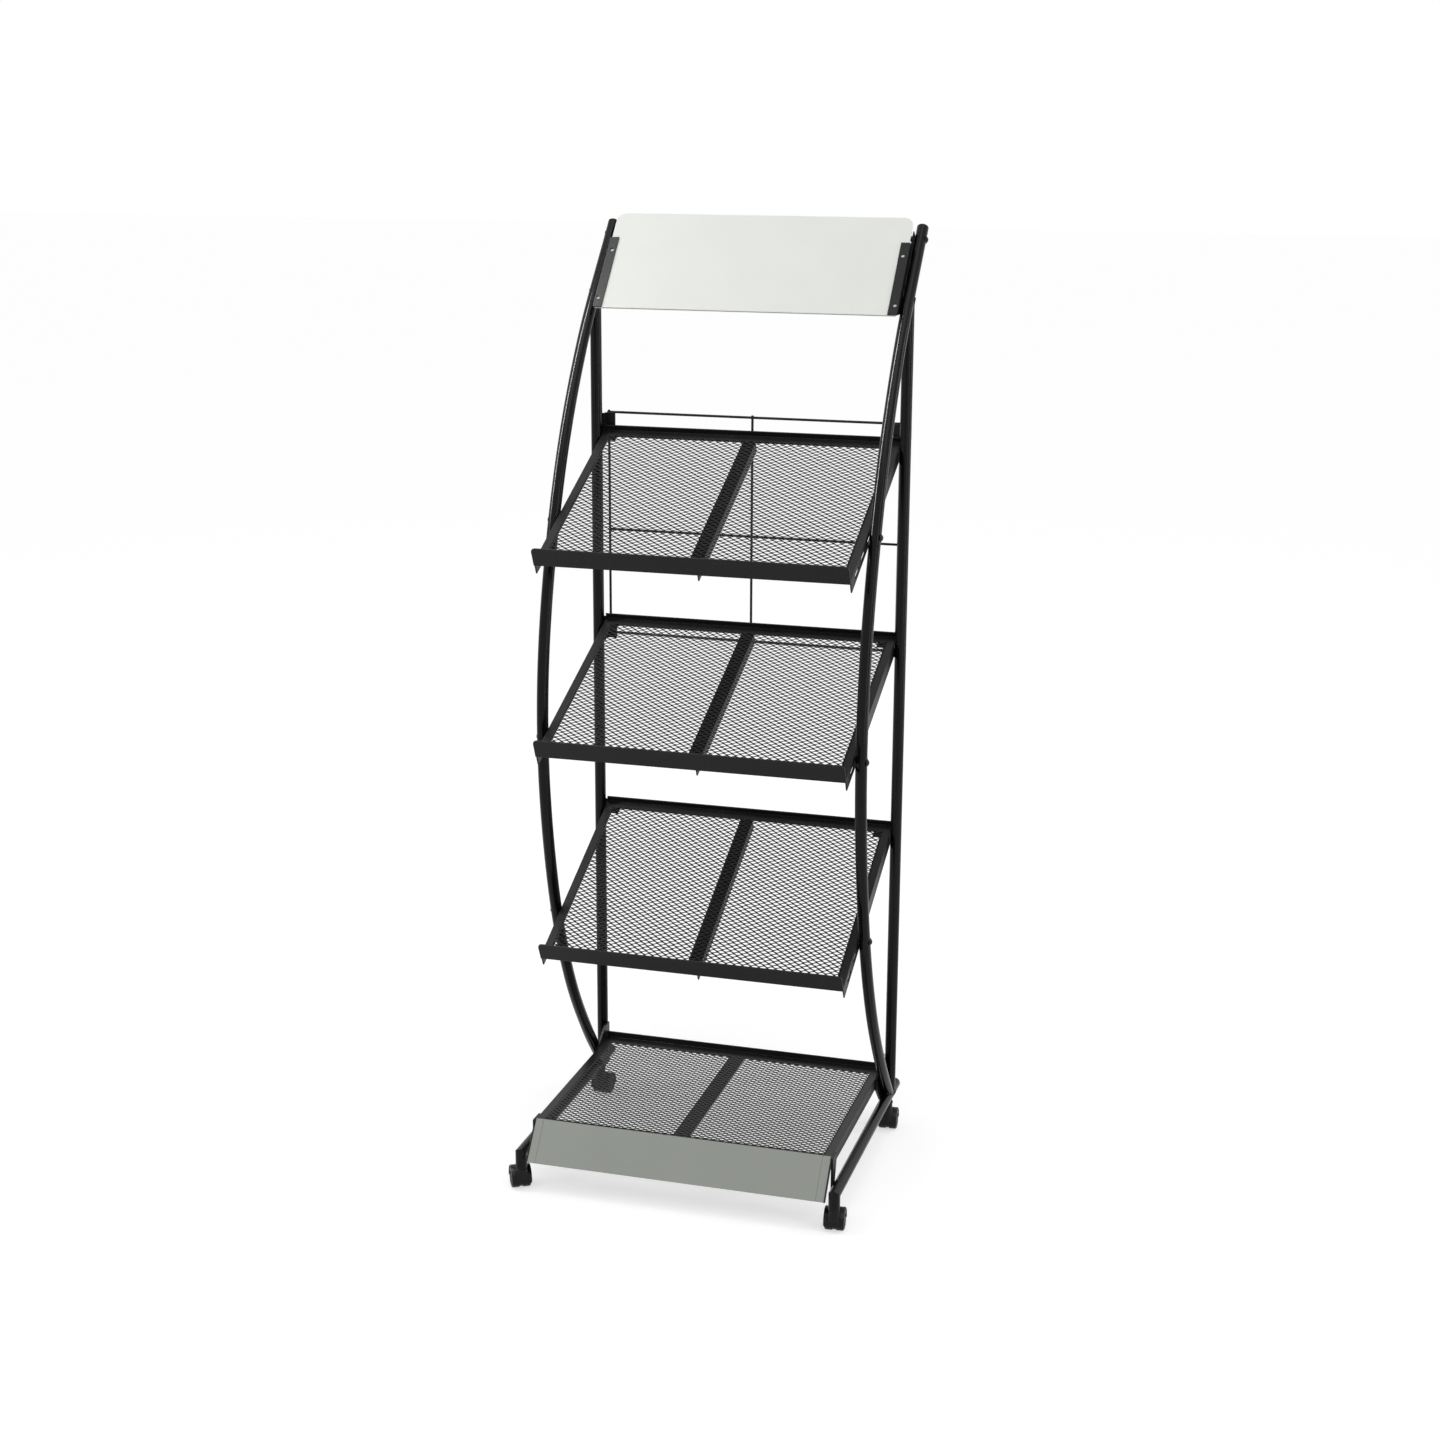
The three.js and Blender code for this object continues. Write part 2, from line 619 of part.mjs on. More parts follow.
function buildShelf(shelf) {
  const place = shelfMatrix(shelf);
  const half = SHELF_HALF;
  const front = -SHELF_LONG;
  const lipBack = front + SHEET;
  const frameFront = lipBack + GAP;
  const slots = Array.from({ length: SLOT_COUNT }, (_, k) =>
    stadium(front + SLOT_FIRST + k * SLOT_PITCH, -SLOT_DROP, SLOT_LONG, SLOT_HIGH),
  );

  const pieces = [];
  for (const side of [-1, 1]) {
    const order = (a, b) => [Math.min(side * a, side * b), Math.max(side * a, side * b)];
    const inner = half - SIDE_FLANGE;
    pieces.push(
      block(...order(inner, half), frameFront, 0, -SHEET, 0),
      block(...order(inner - GUSSET, half), -REAR_FLANGE - GUSSET, 0, -SHEET, 0),
      block(...order(inner, half + LUG_OUT), -SHEET, 0, -LUG_DOWN, LUG_UP),
      plate(
        [[frameFront, -DOWN_FLANGE], [0, -DOWN_FLANGE], [0, 0], [frameFront, 0]],
        "x", ...order(half - SHEET, half), slots,
      ),
    );
  }
  pieces.push(
    block(-half, half, -REAR_FLANGE, 0, -SHEET, 0),
    block(-half, half, -SHEET, 0, -SHEET, REAR_LIP),
  );
  addNode(`${shelf.name}_frame`, join(...pieces), BLACK, place);

  const barRear = -REAR_FLANGE - GAP;
  const bar = join(
    block(BAR_LEFT, BAR_RIGHT, frameFront, barRear, -SHEET, 0),
    block(BAR_RIGHT - SHEET, BAR_RIGHT, frameFront, barRear, -CENTRE_DOWN, 0),
  );
  addNode(`${shelf.name}_centre_bar`, bar, BLACK, place);

  const meshHalf = half - SHEET;
  const sheet = meshSheet(
    meshHalf, frameFront, -SHEET - GAP, BAR_RIGHT + BAR_CLEAR, half - SIDE_FLANGE - BAY_CLEAR,
    frameFront + FRONT_BORDER, barRear - BAY_CLEAR,
  );
  addNode(`${shelf.name}_mesh`, sheet, MESH_BLACK, place);

  const c = LIP_CORNER;
  const corner = [0, 30, 60, 90].map((a) => [c * Math.cos(rad(a)), c * Math.sin(rad(a))]);
  const lipOutline = [
    [-half, -LIP_DOWN],
    [half, -LIP_DOWN],
    ...corner.map(([a, b]) => [half - c + a, LIP_UP - c + b]),
    ...corner.map(([a, b]) => [-half + c - a, LIP_UP - c + b]).reverse(),
  ];
  addNode(`${shelf.name}_front_lip`, plate(lipOutline, "y", -lipBack, -front), BLACK, place);
}

function buildTray() {
  const place = new THREE.Matrix4().makeTranslation(0, 0, TRAY_Z);
  const half = TRAY_HALF;
  const inner = half - TRAY_FLANGE;
  const [front, rear] = [TRAY_FRONT, TRAY_REAR];
  const pieces = [
    block(-half, half, rear - TRAY_REAR_FLANGE, rear, -SHEET, 0),
    block(-half, half, rear - SHEET, rear, -SHEET, TRAY_LIP),
    block(-half, half, front, front + TRAY_FRONT_FLANGE, -SHEET, 0),
    block(-half, half, front, front + SHEET, -TRAY_DOWN, 0),
  ];
  for (const side of [-1, 1]) {
    const edge = side * half;
    const wall = side * (half - SHEET);
    const lip = side * inner;
    pieces.push(
      block(Math.min(edge, lip), Math.max(edge, lip), front, rear, -SHEET, 0),
      block(Math.min(edge, wall), Math.max(edge, wall), front, rear, -TRAY_DOWN, 0),
    );
  }
  addNode("tray_frame", join(...pieces), BLACK, place);

  const barFront = front + TRAY_FRONT_FLANGE + GAP;
  const barRear = rear - TRAY_REAR_FLANGE - GAP;
  const bar = join(
    block(TRAY_BAR_LEFT, TRAY_BAR_RIGHT, barFront, barRear, -SHEET, 0),
    block(TRAY_BAR_LEFT, TRAY_BAR_LEFT + SHEET, barFront, barRear, -TRAY_DOWN, 0),
  );
  addNode("tray_centre_bar", bar, BLACK, place);

  const sheet = meshSheet(
    half - TRAY_MESH_INSET, front, rear - SHEET - GAP, -TRAY_BAR_LEFT + BAR_CLEAR, inner - BAY_CLEAR,
    barFront + BAY_CLEAR, barRear - BAY_CLEAR,
  );
  addNode("tray_mesh", sheet, MESH_BLACK, place);
}

// Front panel: hung on the tray's front by a flange, sloping out to a hem at the bottom
function buildPanel() {
  const [topY, topZ] = PANEL_TOP;
  const [lowY, lowZ] = PANEL_BOTTOM;
  const back = TRAY_FRONT - GAP;
  const slope = new THREE.Vector2(topY - lowY, topZ - lowZ).normalize();
  const shift = SHEET / slope.y; // sheet thickness measured along Y
  const bendZ = topZ - (topY + shift - back + SHEET) * (slope.y / slope.x);
  const returnZ = TRAY_Z - PANEL_RETURN;
  const profile = [
    [topY, topZ],
    [lowY, lowZ],
    [lowY + PANEL_HEM, lowZ],
    [lowY + PANEL_HEM, lowZ + SHEET],
    [lowY + shift + SHEET * (slope.x / slope.y), lowZ + SHEET],
    [back - SHEET, bendZ],
    [back - SHEET, returnZ],
    [back, returnZ],
    [back, topZ],
  ];
  const inner = PANEL_HALF - PANEL_STRIP;
  addNode("front_panel", plate(profile, "x", -inner, inner), GREY);
  addNode("front_panel_end_left", plate(profile, "x", -PANEL_HALF, -inner - GAP), GREY);
  addNode("front_panel_end_right", plate(profile, "x", inner + GAP, PANEL_HALF), GREY);
}

function circle(cy, cz, r, count) {
  return Array.from({ length: count }, (_, i) => {
    const angle = (2 * Math.PI * i) / count;
    return [cy + r * Math.cos(angle), cz + r * Math.sin(angle)];
  });
}

function buildStays(label, side) {
  const span = side < 0 ? [-STAY_OUT, -STAY_IN] : [STAY_IN, STAY_OUT];
  const strapOutline = [
    [STRAP_FRONT, STRAP_LOW],
    [STRAP_FRONT + STRAP_NARROW, STRAP_LOW],
    [STRAP_FRONT + STRAP_WIDE, TRAY_Z],
    [STRAP_FRONT, TRAY_Z],
  ];
  addNode(`tray_strap_${label}`, plate(strapOutline, "x", ...span), BLACK);
  const top = TRAY_Z + PLATE_UP;
  const outline = [
    [PLATE_FRONT, TRAY_Z - TRAY_DOWN],
    [PLATE_REAR - PLATE_FOOT, PLATE_LOW],
    [PLATE_REAR, PLATE_LOW],
    [PLATE_REAR, top],
    [PLATE_REAR - PLATE_HEAD, top],
    [PLATE_FRONT, TRAY_Z],
  ];
  const hole = circle(
    PLATE_REAR - PLATE_HOLE_IN, (TRAY_Z + PLATE_LOW) / 2, PLATE_HOLE_R, 10,
  );
  addNode(`tray_plate_${label}`, plate(outline, "x", ...span, [hole]), BLACK);
}

// Header panel in its own frame: Z up its face, Y into its thickness
function buildSign() {
  const place = new THREE.Matrix4()
    .makeTranslation(0, ...SIGN_FOOT)
    .multiply(new THREE.Matrix4().makeRotationX(-rad(SIGN_LEAN)));
  const c = SIGN_CORNER;
  const corner = [0, 22.5, 45, 67.5, 90].map((a) => [c * Math.cos(rad(a)), c * Math.sin(rad(a))]);
  const outline = [
    [-SIGN_HALF, 0],
    [SIGN_HALF, 0],
    ...corner.map(([a, b]) => [SIGN_HALF - c + a, SIGN_HIGH - c + b]),
    ...corner.map(([a, b]) => [-SIGN_HALF + c - a, SIGN_HIGH - c + b]).reverse(),
  ];
  addNode("sign_panel", plate(outline, "y", -SIGN_THICK, 0), WHITE, place);

  const outer = SHELF_HALF;
  const face = -GAP - BRACKET_SHEET;
  for (const [label, side] of [["left", -1], ["right", 1]]) {
    const order = (a, b) => [Math.min(side * a, side * b), Math.max(side * a, side * b)];
    const holes = BRACKET_HOLES.map(([z, inside]) =>
      circle(side * (outer - BRACKET_WIDE / 2 - inside), z, BRACKET_HOLE_R, 10),
    );
    const [f0, f1] = order(outer - BRACKET_WIDE, outer);
    const front = plate(
      [[f0, 0], [f1, 0], [f1, BRACKET_HIGH], [f0, BRACKET_HIGH]],
      "y", GAP, GAP + BRACKET_SHEET, holes,
    );
    const [w0, w1] = order(outer - BRACKET_SHEET, outer);
    const wall = plate(
      [
        [face, 0],
        [0, 0],
        [BRACKET_DEEP, BRACKET_DEEP * Math.tan(rad(SIGN_LEAN))], // level foot
        [BRACKET_DEEP, BRACKET_TAB],
        [BRACKET_DEEP - BRACKET_STEP, BRACKET_TAB],
        [BRACKET_DEEP - BRACKET_STEP, BRACKET_HIGH],
        [face, BRACKET_HIGH],
      ],
      "x", w0, w1,
    );
    addNode(`sign_bracket_${label}`, join(front, wall), BLACK, place);
  }
}

function buildGrid() {
  const low = GRID_HEIGHTS[0];
  const high = GRID_HEIGHTS[GRID_HEIGHTS.length - 1];
  const behind = GRID_Y + 2 * WIRE_R - WIRE_BITE;
  const wires = [];
  for (const x of [-GRID_HALF, 0, GRID_HALF]) {
    const [foot, head] = [low - WIRE_OVER, high + WIRE_OVER];
    wires.push(rod([x, GRID_Y, foot], [x, GRID_Y, head], WIRE_R, WIRE_SIDES));
  }
  const reach = GRID_HALF + WIRE_OVER;
  for (const z of GRID_HEIGHTS) {
    wires.push(rod([-reach, behind, z], [reach, behind, z], WIRE_R, WIRE_SIDES));
  }
  addNode("back_grid", join(...wires), WIRE_BLACK);

  // Clips: one leg on the back of the upright, one leg against the grid
  const clipBack = GRID_Y - WIRE_R - GAP;
  const clipFront = TUBE_R + GAP;
  const bend = SHELF_HALF + GAP + CLIP_SHEET;
  const clipOut = SPAN / 2 + TUBE_R - CLIP_SHORT;
  for (const [label, side] of [["left", -1], ["right", 1]]) {
    for (const [level, z] of [["lower", low], ["upper", high]]) {
      const outline = [
        [bend - CLIP_SHEET, clipFront],
        [clipOut, clipFront],
        [clipOut, clipFront + CLIP_SHEET],
        [bend, clipFront + CLIP_SHEET],
        [bend, clipBack],
        [bend - CLIP_REACH, clipBack],
        [bend - CLIP_REACH, clipBack - CLIP_SHEET],
        [bend - CLIP_SHEET, clipBack - CLIP_SHEET],
      ].map(([a, b]) => [side * a, b]);
      if (side < 0) outline.reverse();
      const upper = level === "upper";
      const middleZ = upper ? z - CLIP_DROP : z;
      const halfHigh = (upper ? UPPER_CLIP_HIGH : CLIP_HIGH) / 2;
      const clip = plate(outline, "z", middleZ - halfHigh, middleZ + halfHigh);
      addNode(`grid_clip_${level}_${label}`, clip, BLACK);
    }
  }
}

for (const [label, side] of [["left", -1], ["right", 1]]) {
  buildSide(label, side);
  buildStays(label, side);
}
SHELVES.forEach(buildShelf);
buildTray();
buildPanel();
buildSign();
buildGrid();
CASTERS.forEach(buildCaster);

// The frame's origin is the middle of the foot of the whole rack
const bounds = new THREE.Box3().setFromObject(root);
const middle = bounds.getCenter(new THREE.Vector3());
for (const node of root.children) node.geometry.translate(-middle.x, -middle.y, -bounds.min.z);

export default root;
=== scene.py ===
"""Looks of a periodical display rack: black tube frame, expanded-metal shelves, pale header panel."""
import json
import math

import bpy
from mathutils import Matrix, Vector


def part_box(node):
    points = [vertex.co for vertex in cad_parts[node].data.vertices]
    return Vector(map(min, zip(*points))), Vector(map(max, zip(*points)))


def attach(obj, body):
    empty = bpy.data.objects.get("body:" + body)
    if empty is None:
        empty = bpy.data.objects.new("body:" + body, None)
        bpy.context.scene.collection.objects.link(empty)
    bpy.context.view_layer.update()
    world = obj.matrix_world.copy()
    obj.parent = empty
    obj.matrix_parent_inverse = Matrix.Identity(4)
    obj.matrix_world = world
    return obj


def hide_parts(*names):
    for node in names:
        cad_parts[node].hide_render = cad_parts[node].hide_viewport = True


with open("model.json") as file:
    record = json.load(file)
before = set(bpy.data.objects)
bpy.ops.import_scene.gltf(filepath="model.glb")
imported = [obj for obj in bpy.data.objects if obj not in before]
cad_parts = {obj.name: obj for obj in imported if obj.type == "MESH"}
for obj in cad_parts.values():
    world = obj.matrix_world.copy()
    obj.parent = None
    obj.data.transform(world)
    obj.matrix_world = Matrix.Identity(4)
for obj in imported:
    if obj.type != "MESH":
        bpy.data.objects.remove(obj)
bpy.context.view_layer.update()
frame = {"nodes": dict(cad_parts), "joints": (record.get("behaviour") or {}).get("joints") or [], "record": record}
MM = 0.001
RACK = "rack"
SIDES = (("left", -1), ("right", 1))
AXIS = 0.01  # radius that stands for the axis of a turned piece
HAIR = 0.01  # keeps two faces out of one plane
CREASE = 35  # edges sharper than this many degrees stay crisp
LATHE_SIDES = 48

# Driving sizes in millimetres: X from the mirror plane, Y from the uprights, Z from the floor
SPAN = 500
TUBE_R = 9
TUBE_SIDES = 40
RAIL_Z = 62.5
RAIL_REAR = 42
LEG_Y = -388  # the rail turns down here into a short leg
LEG_LOW = 37.5
BOW = (
    (-8, RAIL_Z),
    (-77, 144),
    (-156, 262),
    (-221, 421),
    (-262, 650),
    (-250, 850),
    (-172, 1096),
    (-65, 1278),
    (91, 1455),
)
BOW_STEPS = 20  # rings between two points of the bow

# Plugs and bushes in the tube ends
CAP_THICK = 2.5
CAP_ROUND = 1.8
CAP_STEPS = 6
BUSH_BORE = 5.6

# Weld beads where tubes meet
BEAD_R = 1.5
BEAD_SIDES = 10
BEAD_STEPS = 96
BEAD_SWELL = 0.12  # share of the radius by which the weld's drops swell the bead
BEAD_RIPPLE = 1.9  # turn of that swelling from one ring to the next
BEAD_REFERENCE = (0.3, 0.5, 0.8)  # a direction in which no bead runs

# Shelves: name, height of the rear edge and slope in degrees
SHELVES = (("shelf_top", 1136.7, 25.4), ("shelf_middle", 830, 22.9), ("shelf_lower", 520, 25.8))
SHEET = 2
SHELF_HALF = 240.7
SHELF_LONG = 364
SHELF_REAR = 12.5
SIDE_FLANGE = 14
REAR_FLANGE = 18
BOLT_DROP = 8.25  # bolts below the shelf's top

# Base tray
TRAY_HALF = 237
TRAY_Z = 106.5
TRAY_REAR = -8
TRAY_FRONT = -353
TRAY_FLANGE = 14
TRAY_REAR_FLANGE = 24
TRAY_FRONT_FLANGE = 6

# Expanded metal: pitch of the diamonds, bond where two strands meet, and each strand's width, thickness and
# lean out of the sheet in degrees; below 0 its front edge is up
LONG_WAY = 13.1
SHORT_WAY = 9.1
BOND = 2.2
SHELF_STRAND = (2.5, 1.12, -27.5)
TRAY_STRAND = (1.7, 0.8, 6)
SHEET_EDGE = 0.5
SHEET_LIFT = 0.1
SHEET_OVER = 1.5  # the strands end this far over the flanges

# Front panel: top and bottom edge as (Y, Z), and the return along its ends, black as painted shade
PANEL_TOP = (-356, 107)
PANEL_LOW = (-399.5, 53)
PANEL_HALF = 236.1
TRIM_START = 0.17  # share of the slope where the trim begins
TRIM_WIDE = 2.4
TRIM_PROUD = 0.6
TRIM_DEEP = 2.2

# Header panel
SIGN_FOOT = (-41, 1333)
SIGN_LEAN = 41.5
SIGN_HALF = 238.4
SIGN_HIGH = 184
SIGN_THICK = 3
SIGN_CORNER = 15
SIGN_CORNER_STEPS = 14
SIGN_ROUND = 0.5
BRACKET_SHEET = 1.6
BRACKET_TAB_BOLT = (18, 157)

# Wire grid and the seams under the clips that hold it
GRID_Y = 24
GRID_HALF = 237.5
GRID_HEIGHTS = (802.5, 973.5, 1162.5)
WIRE_R = 2
WIRE_SIDES = 20
WIRE_END = 4
WIRE_SINK = 0.6  # crossing wires are pressed into each other by this much
WIRE_ROUND = 0.6
CLIP_LOWS = (794.5, 1140.8)
CLIP_WELD_R = 1.8
CLIP_WELD_IN = 240.4
CLIP_WELD_LONG = 15
CLIP_WELD_Y = 9.8

# Bolts and nuts; the heads of the left side frame lie flat
BOLT_R = 4.6
BOLT_HIGH = {"left": 0.5, "right": 2.6}
BOLT_SIDES = 28
BOLT_SINK = 0.4
DOME_END = 63  # degrees that the head's dome runs up to its socket
DOME_STEP = 9
SOCKET_WIDE = 0.42  # shares of the head's radius and height
SOCKET_RIM = 0.93
SOCKET_FLOOR = 0.55
WASHER_R = 6.2
WASHER_THICK = 0.7
WASHER_TOP = 0.95  # share of the radius left on top
WASHER_EDGE = 0.7  # share of the thickness that stands upright
NUT_ACROSS = 8.6
NUT_HIGH = 4
NUT_SIDES = 6
NUT_TOP = 0.9  # share of the nut's reach left on top
NUT_EASE = 0.5
THREAD_R = 2.9
THREAD_OUT = 1.8
THREAD_EASE = 0.4
THREAD_SIDES = 20

# Casters: wheels, and the web between them
TRAIL = 13
WHEEL_R = 16.5
WHEEL_WIDE = 13.1
WHEEL_SIDES = 56
WHEEL_BORE = 2.6
WHEEL_EASE = 1.2
WHEEL_DOME = 3.4
WHEEL_DOME_END = 80
WHEEL_DOME_STEPS = 8
WHEEL_PLAY = 0.5
# Dished hub: radius, and depth below the wheel's outer face
HUB = ((10.6, 0), (10.1, 0.5), (9.2, 1.6), (7.2, 1.9), (6.6, 1.4), (5.6, 0.5), (4.6, 0.2))
WEB_HALF = 1.7
WEB_R = 15.4
WEB_STEP = 10

# Caster hoods, and the necks between hood and tube
HOOD_GAP = 0.9
HOOD_THICK = 1.8
HOOD_DROP = 12  # degrees that the hood reaches below the axle on both sides
HOOD_STEP = 6
HOOD_ROUND = 1.4
HOOD_EASE = 0.3  # share of the rounding at its middle
ARCH_STEPS = 32
NECK_R = 8
NECK_SIDES = 40
NECK_CLEAR = 0.3
NECK_LOW = WHEEL_R + 4  # starts inside the hood
# Outline of a neck: past its radius, and above its start or below its top
NECK_FOOT = ((2.4, 0), (2.2, 10))
NECK_WAIST = ((0.6, 16), (0, 20))
NECK_WAIST_END = 2.6
NECK_WAIST_LEAST = 24  # a shorter neck has no waist
NECK_COLLAR = ((0.7, 2.2), (0.7, 0.5), (0.2, 0))

# Coats: clouds in the colour, uneven gloss, fine peel, and edges whose colour is changed as painted highlight and
# rubbed wear
CLOUD_SCALE = 14
CLOUD_DETAIL = 6
CLOUD_RANGE = (0.3, 0.7)
GLOSS_SPREAD = 0.06
PEEL_DETAIL = 2
PEEL_STRENGTH = 0.3
EDGE_SAMPLES = 4
# the painted edge highlight and wear begin at the first agreement and are full at the second
SHEEN_AND_WEAR_START = 0.985  # agreement of the rounded and the flat normal
SHEEN_AND_WEAR_FULL = 0.75

# Floor and light: lamps by place, spread in degrees or size in metres, and power
FLOOR_HALF = 30.0
FLOOR_GREY = 0.5
FLOOR_GLOW = 0.6
WORLD_LIGHT = 0.55
AIM = (0, -100, 800)
KEY_SKY = ((500, -1500, 3600), 45, 0.8)
STRIPS = {
    "side_strip": ((2600, 700, 1300), 0.25, 2.6, 16),
    "front_strip": ((2600, -1450, 1300), 0.2, 2.8, 12),
    "bow_strip": ((-1900, -830, 2800), 0.15, 2.4, 22),
    "gloss_strip": ((-1900, -900, 2750), 0.25, 2.4, 130),
}

# Camera that took the photograph, in the same frame
CAMERA_PLACE = (961.5, -3445.7, 1627.7)
CAMERA_AZIMUTH = 16.27
CAMERA_DOWN = 14.86
CAMERA_ROLL = 0.22
FOCAL_PIXELS = 2295.8
IMAGE_PIXELS = 1440
SENSOR = 36

left_low, left_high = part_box("rear_upright_left")
right_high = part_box("rear_upright_right")[1]
cap_low, cap_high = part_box("rail_cap_rear_left")
ORIGIN = Vector((
    (left_low.x + right_high.x) / 2,
    (left_low.y + left_high.y) / 2,
    (cap_low.z + cap_high.z) / 2 - RAIL_Z * MM,
))


def at(x, y, z):
    """A point given in millimetres of the rack's own frame."""
    return ORIGIN + Vector((x, y, z)) * MM


def place_of(x, y, z, turn_x=0.0):
    """Matrix from millimetres of a local frame, turned about X, to the shared frame."""
    return (
        Matrix.Translation(at(x, y, z))
        @ Matrix.Rotation(math.radians(turn_x), 4, "X")
        @ Matrix.Scale(MM, 4)
    )


WORLD = place_of(0, 0, 0)


def facing(point, outward):
    """Matrix of a local frame at a point whose Z looks outward."""
    turn = Vector((0, 0, 1)).rotation_difference(outward).to_matrix().to_4x4()
    return WORLD @ Matrix.Translation(point) @ turn


# Mesh building


class Shape:
    """Points and faces gathered from several closed forms."""

    def __init__(self):
        self.points = []
        self.faces = []

    def add(self, points, faces, place=WORLD):
        start = len(self.points)
        self.points += [place @ Vector(p) for p in points]
        for face in faces:
            self.faces.append([start + i for i in face])
        return self

    def piece(self, name, material, body=RACK, sharp=CREASE):
        """A mesh piece that rides on a body; with no angle for sharp edges its faces stay flat."""
        mesh = bpy.data.meshes.new(name)
        mesh.from_pydata([tuple(p) for p in self.points], [], self.faces)
        mesh.validate()
        mesh.update()
        for polygon in mesh.polygons:
            polygon.use_smooth = sharp > 0
        if sharp > 0:
            mesh.set_sharp_from_angle(angle=math.radians(sharp))
        mesh.materials.append(material)
        piece = bpy.data.objects.new(name, mesh)
        bpy.context.scene.collection.objects.link(piece)
        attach(piece, body)
        return piece


def around(count, start=0.0):
    """Cosine and sine at even steps round a circle, from a share of a step onwards."""
    for k in range(count):
        angle = 2 * math.pi * (k + start) / count
        yield math.cos(angle), math.sin(angle)


def arc(centre, radius, start, end, steps):
    """Points of a circle arc, angles in degrees."""
    points = []
    for i in range(steps + 1):
        angle = math.radians(start + (end - start) * i / steps)
        points.append((centre[0] + radius * math.cos(angle), centre[1] + radius * math.sin(angle)))
    return points


def loft(rings, closed=False):
    """Faces over a row of rings with equal counts; open rows get end faces."""
    points = [p for ring in rings for p in ring]
    count = len(rings[0])
    faces = []
    last = len(rings) if closed else len(rings) - 1
    for k in range(last):
        here = k * count
        there = ((k + 1) % len(rings)) * count
        for i in range(count):
            j = (i + 1) % count
            faces.append((here + i, here + j, there + j, there + i))
    if not closed:
        faces.append(tuple(range(count))[::-1])
        faces.append(tuple(range((len(rings) - 1) * count, len(rings) * count)))
    return points, faces


def lathe(profile, sides=LATHE_SIDES, closed=False):
    """A profile of (radius, height) points turned about Z; it ends on the axis or closes on itself."""
    rings = []
    for radius, height in profile:
        rings.append([(radius * c, radius * s, height) for c, s in around(sides)])
    return loft(rings, closed)


def extruded(outline, low, high):
    """A flat outline of (a, b) points pushed along Z."""
    return loft([[(a, b, height) for a, b in outline] for height in (low, high)])


def tube_along(path, radius):
    """A round bar on a path of points in a plane of constant X."""
    side = Vector((1, 0, 0))
    rings = []
    for k, point in enumerate(path):
        arrive = (point - path[k - 1]).normalized() if k > 0 else (path[1] - point).normalized()
        leave = (path[k + 1] - point).normalized() if k + 1 < len(path) else arrive
        along = (arrive + leave).normalized()
        up = along.cross(side) / along.dot(leave)
        ring = [point + side * (radius * c) + up * (radius * s) for c, s in around(TUBE_SIDES)]
        rings.append(ring[::-1])
    return loft(rings)


def bead_along(path):
    """A weld bead on a closed path, with the small swellings of the weld's drops."""
    rings = []
    for k, point in enumerate(path):
        along = (path[(k + 1) % len(path)] - path[k - 1]).normalized()
        side = along.cross(Vector(BEAD_REFERENCE)).normalized()
        up = along.cross(side)
        radius = BEAD_R * (1 + BEAD_SWELL * math.sin(k * BEAD_RIPPLE))
        rings.append([point + side * (radius * c) + up * (radius * s) for c, s in around(BEAD_SIDES)])
    return loft(rings, closed=True)


def bow_line():
    """The bow's centre line: a centripetal spline through its points."""
    points = [Vector((0, y, z)) for y, z in BOW]
    points = [2 * points[0] - points[1]] + points + [2 * points[-1] - points[-2]]
    line = []
    for k in range(1, len(points) - 2):
        p0, p1, p2, p3 = points[k - 1:k + 3]
        t0, t1, t2 = (math.sqrt((b - a).length) for a, b in ((p0, p1), (p1, p2), (p2, p3)))
        leave = ((p1 - p0) / t0 - (p2 - p0) / (t0 + t1) + (p2 - p1) / t1) * t1
        reach = ((p2 - p1) / t1 - (p3 - p1) / (t1 + t2) + (p3 - p2) / t2) * t1
        for step in range(BOW_STEPS):
            s = step / BOW_STEPS
            line.append(
                p1 * (2 * s**3 - 3 * s**2 + 1)
                + leave * (s**3 - 2 * s**2 + s)
                + p2 * (3 * s**2 - 2 * s**3)
                + reach * (s**3 - s**2)
            )
    line.append(points[-2])
    return line


BOW_LINE = bow_line()


# Materials


def add_node(tree, kind, values=None, **settings):
    """A new node; its settings come first, because they decide which inputs it has."""
    node = tree.nodes.new(kind)
    for key, setting in settings.items():
        setattr(node, key, setting)
    for key, value in (values or {}).items():
        node.inputs[key].default_value = value
    return node


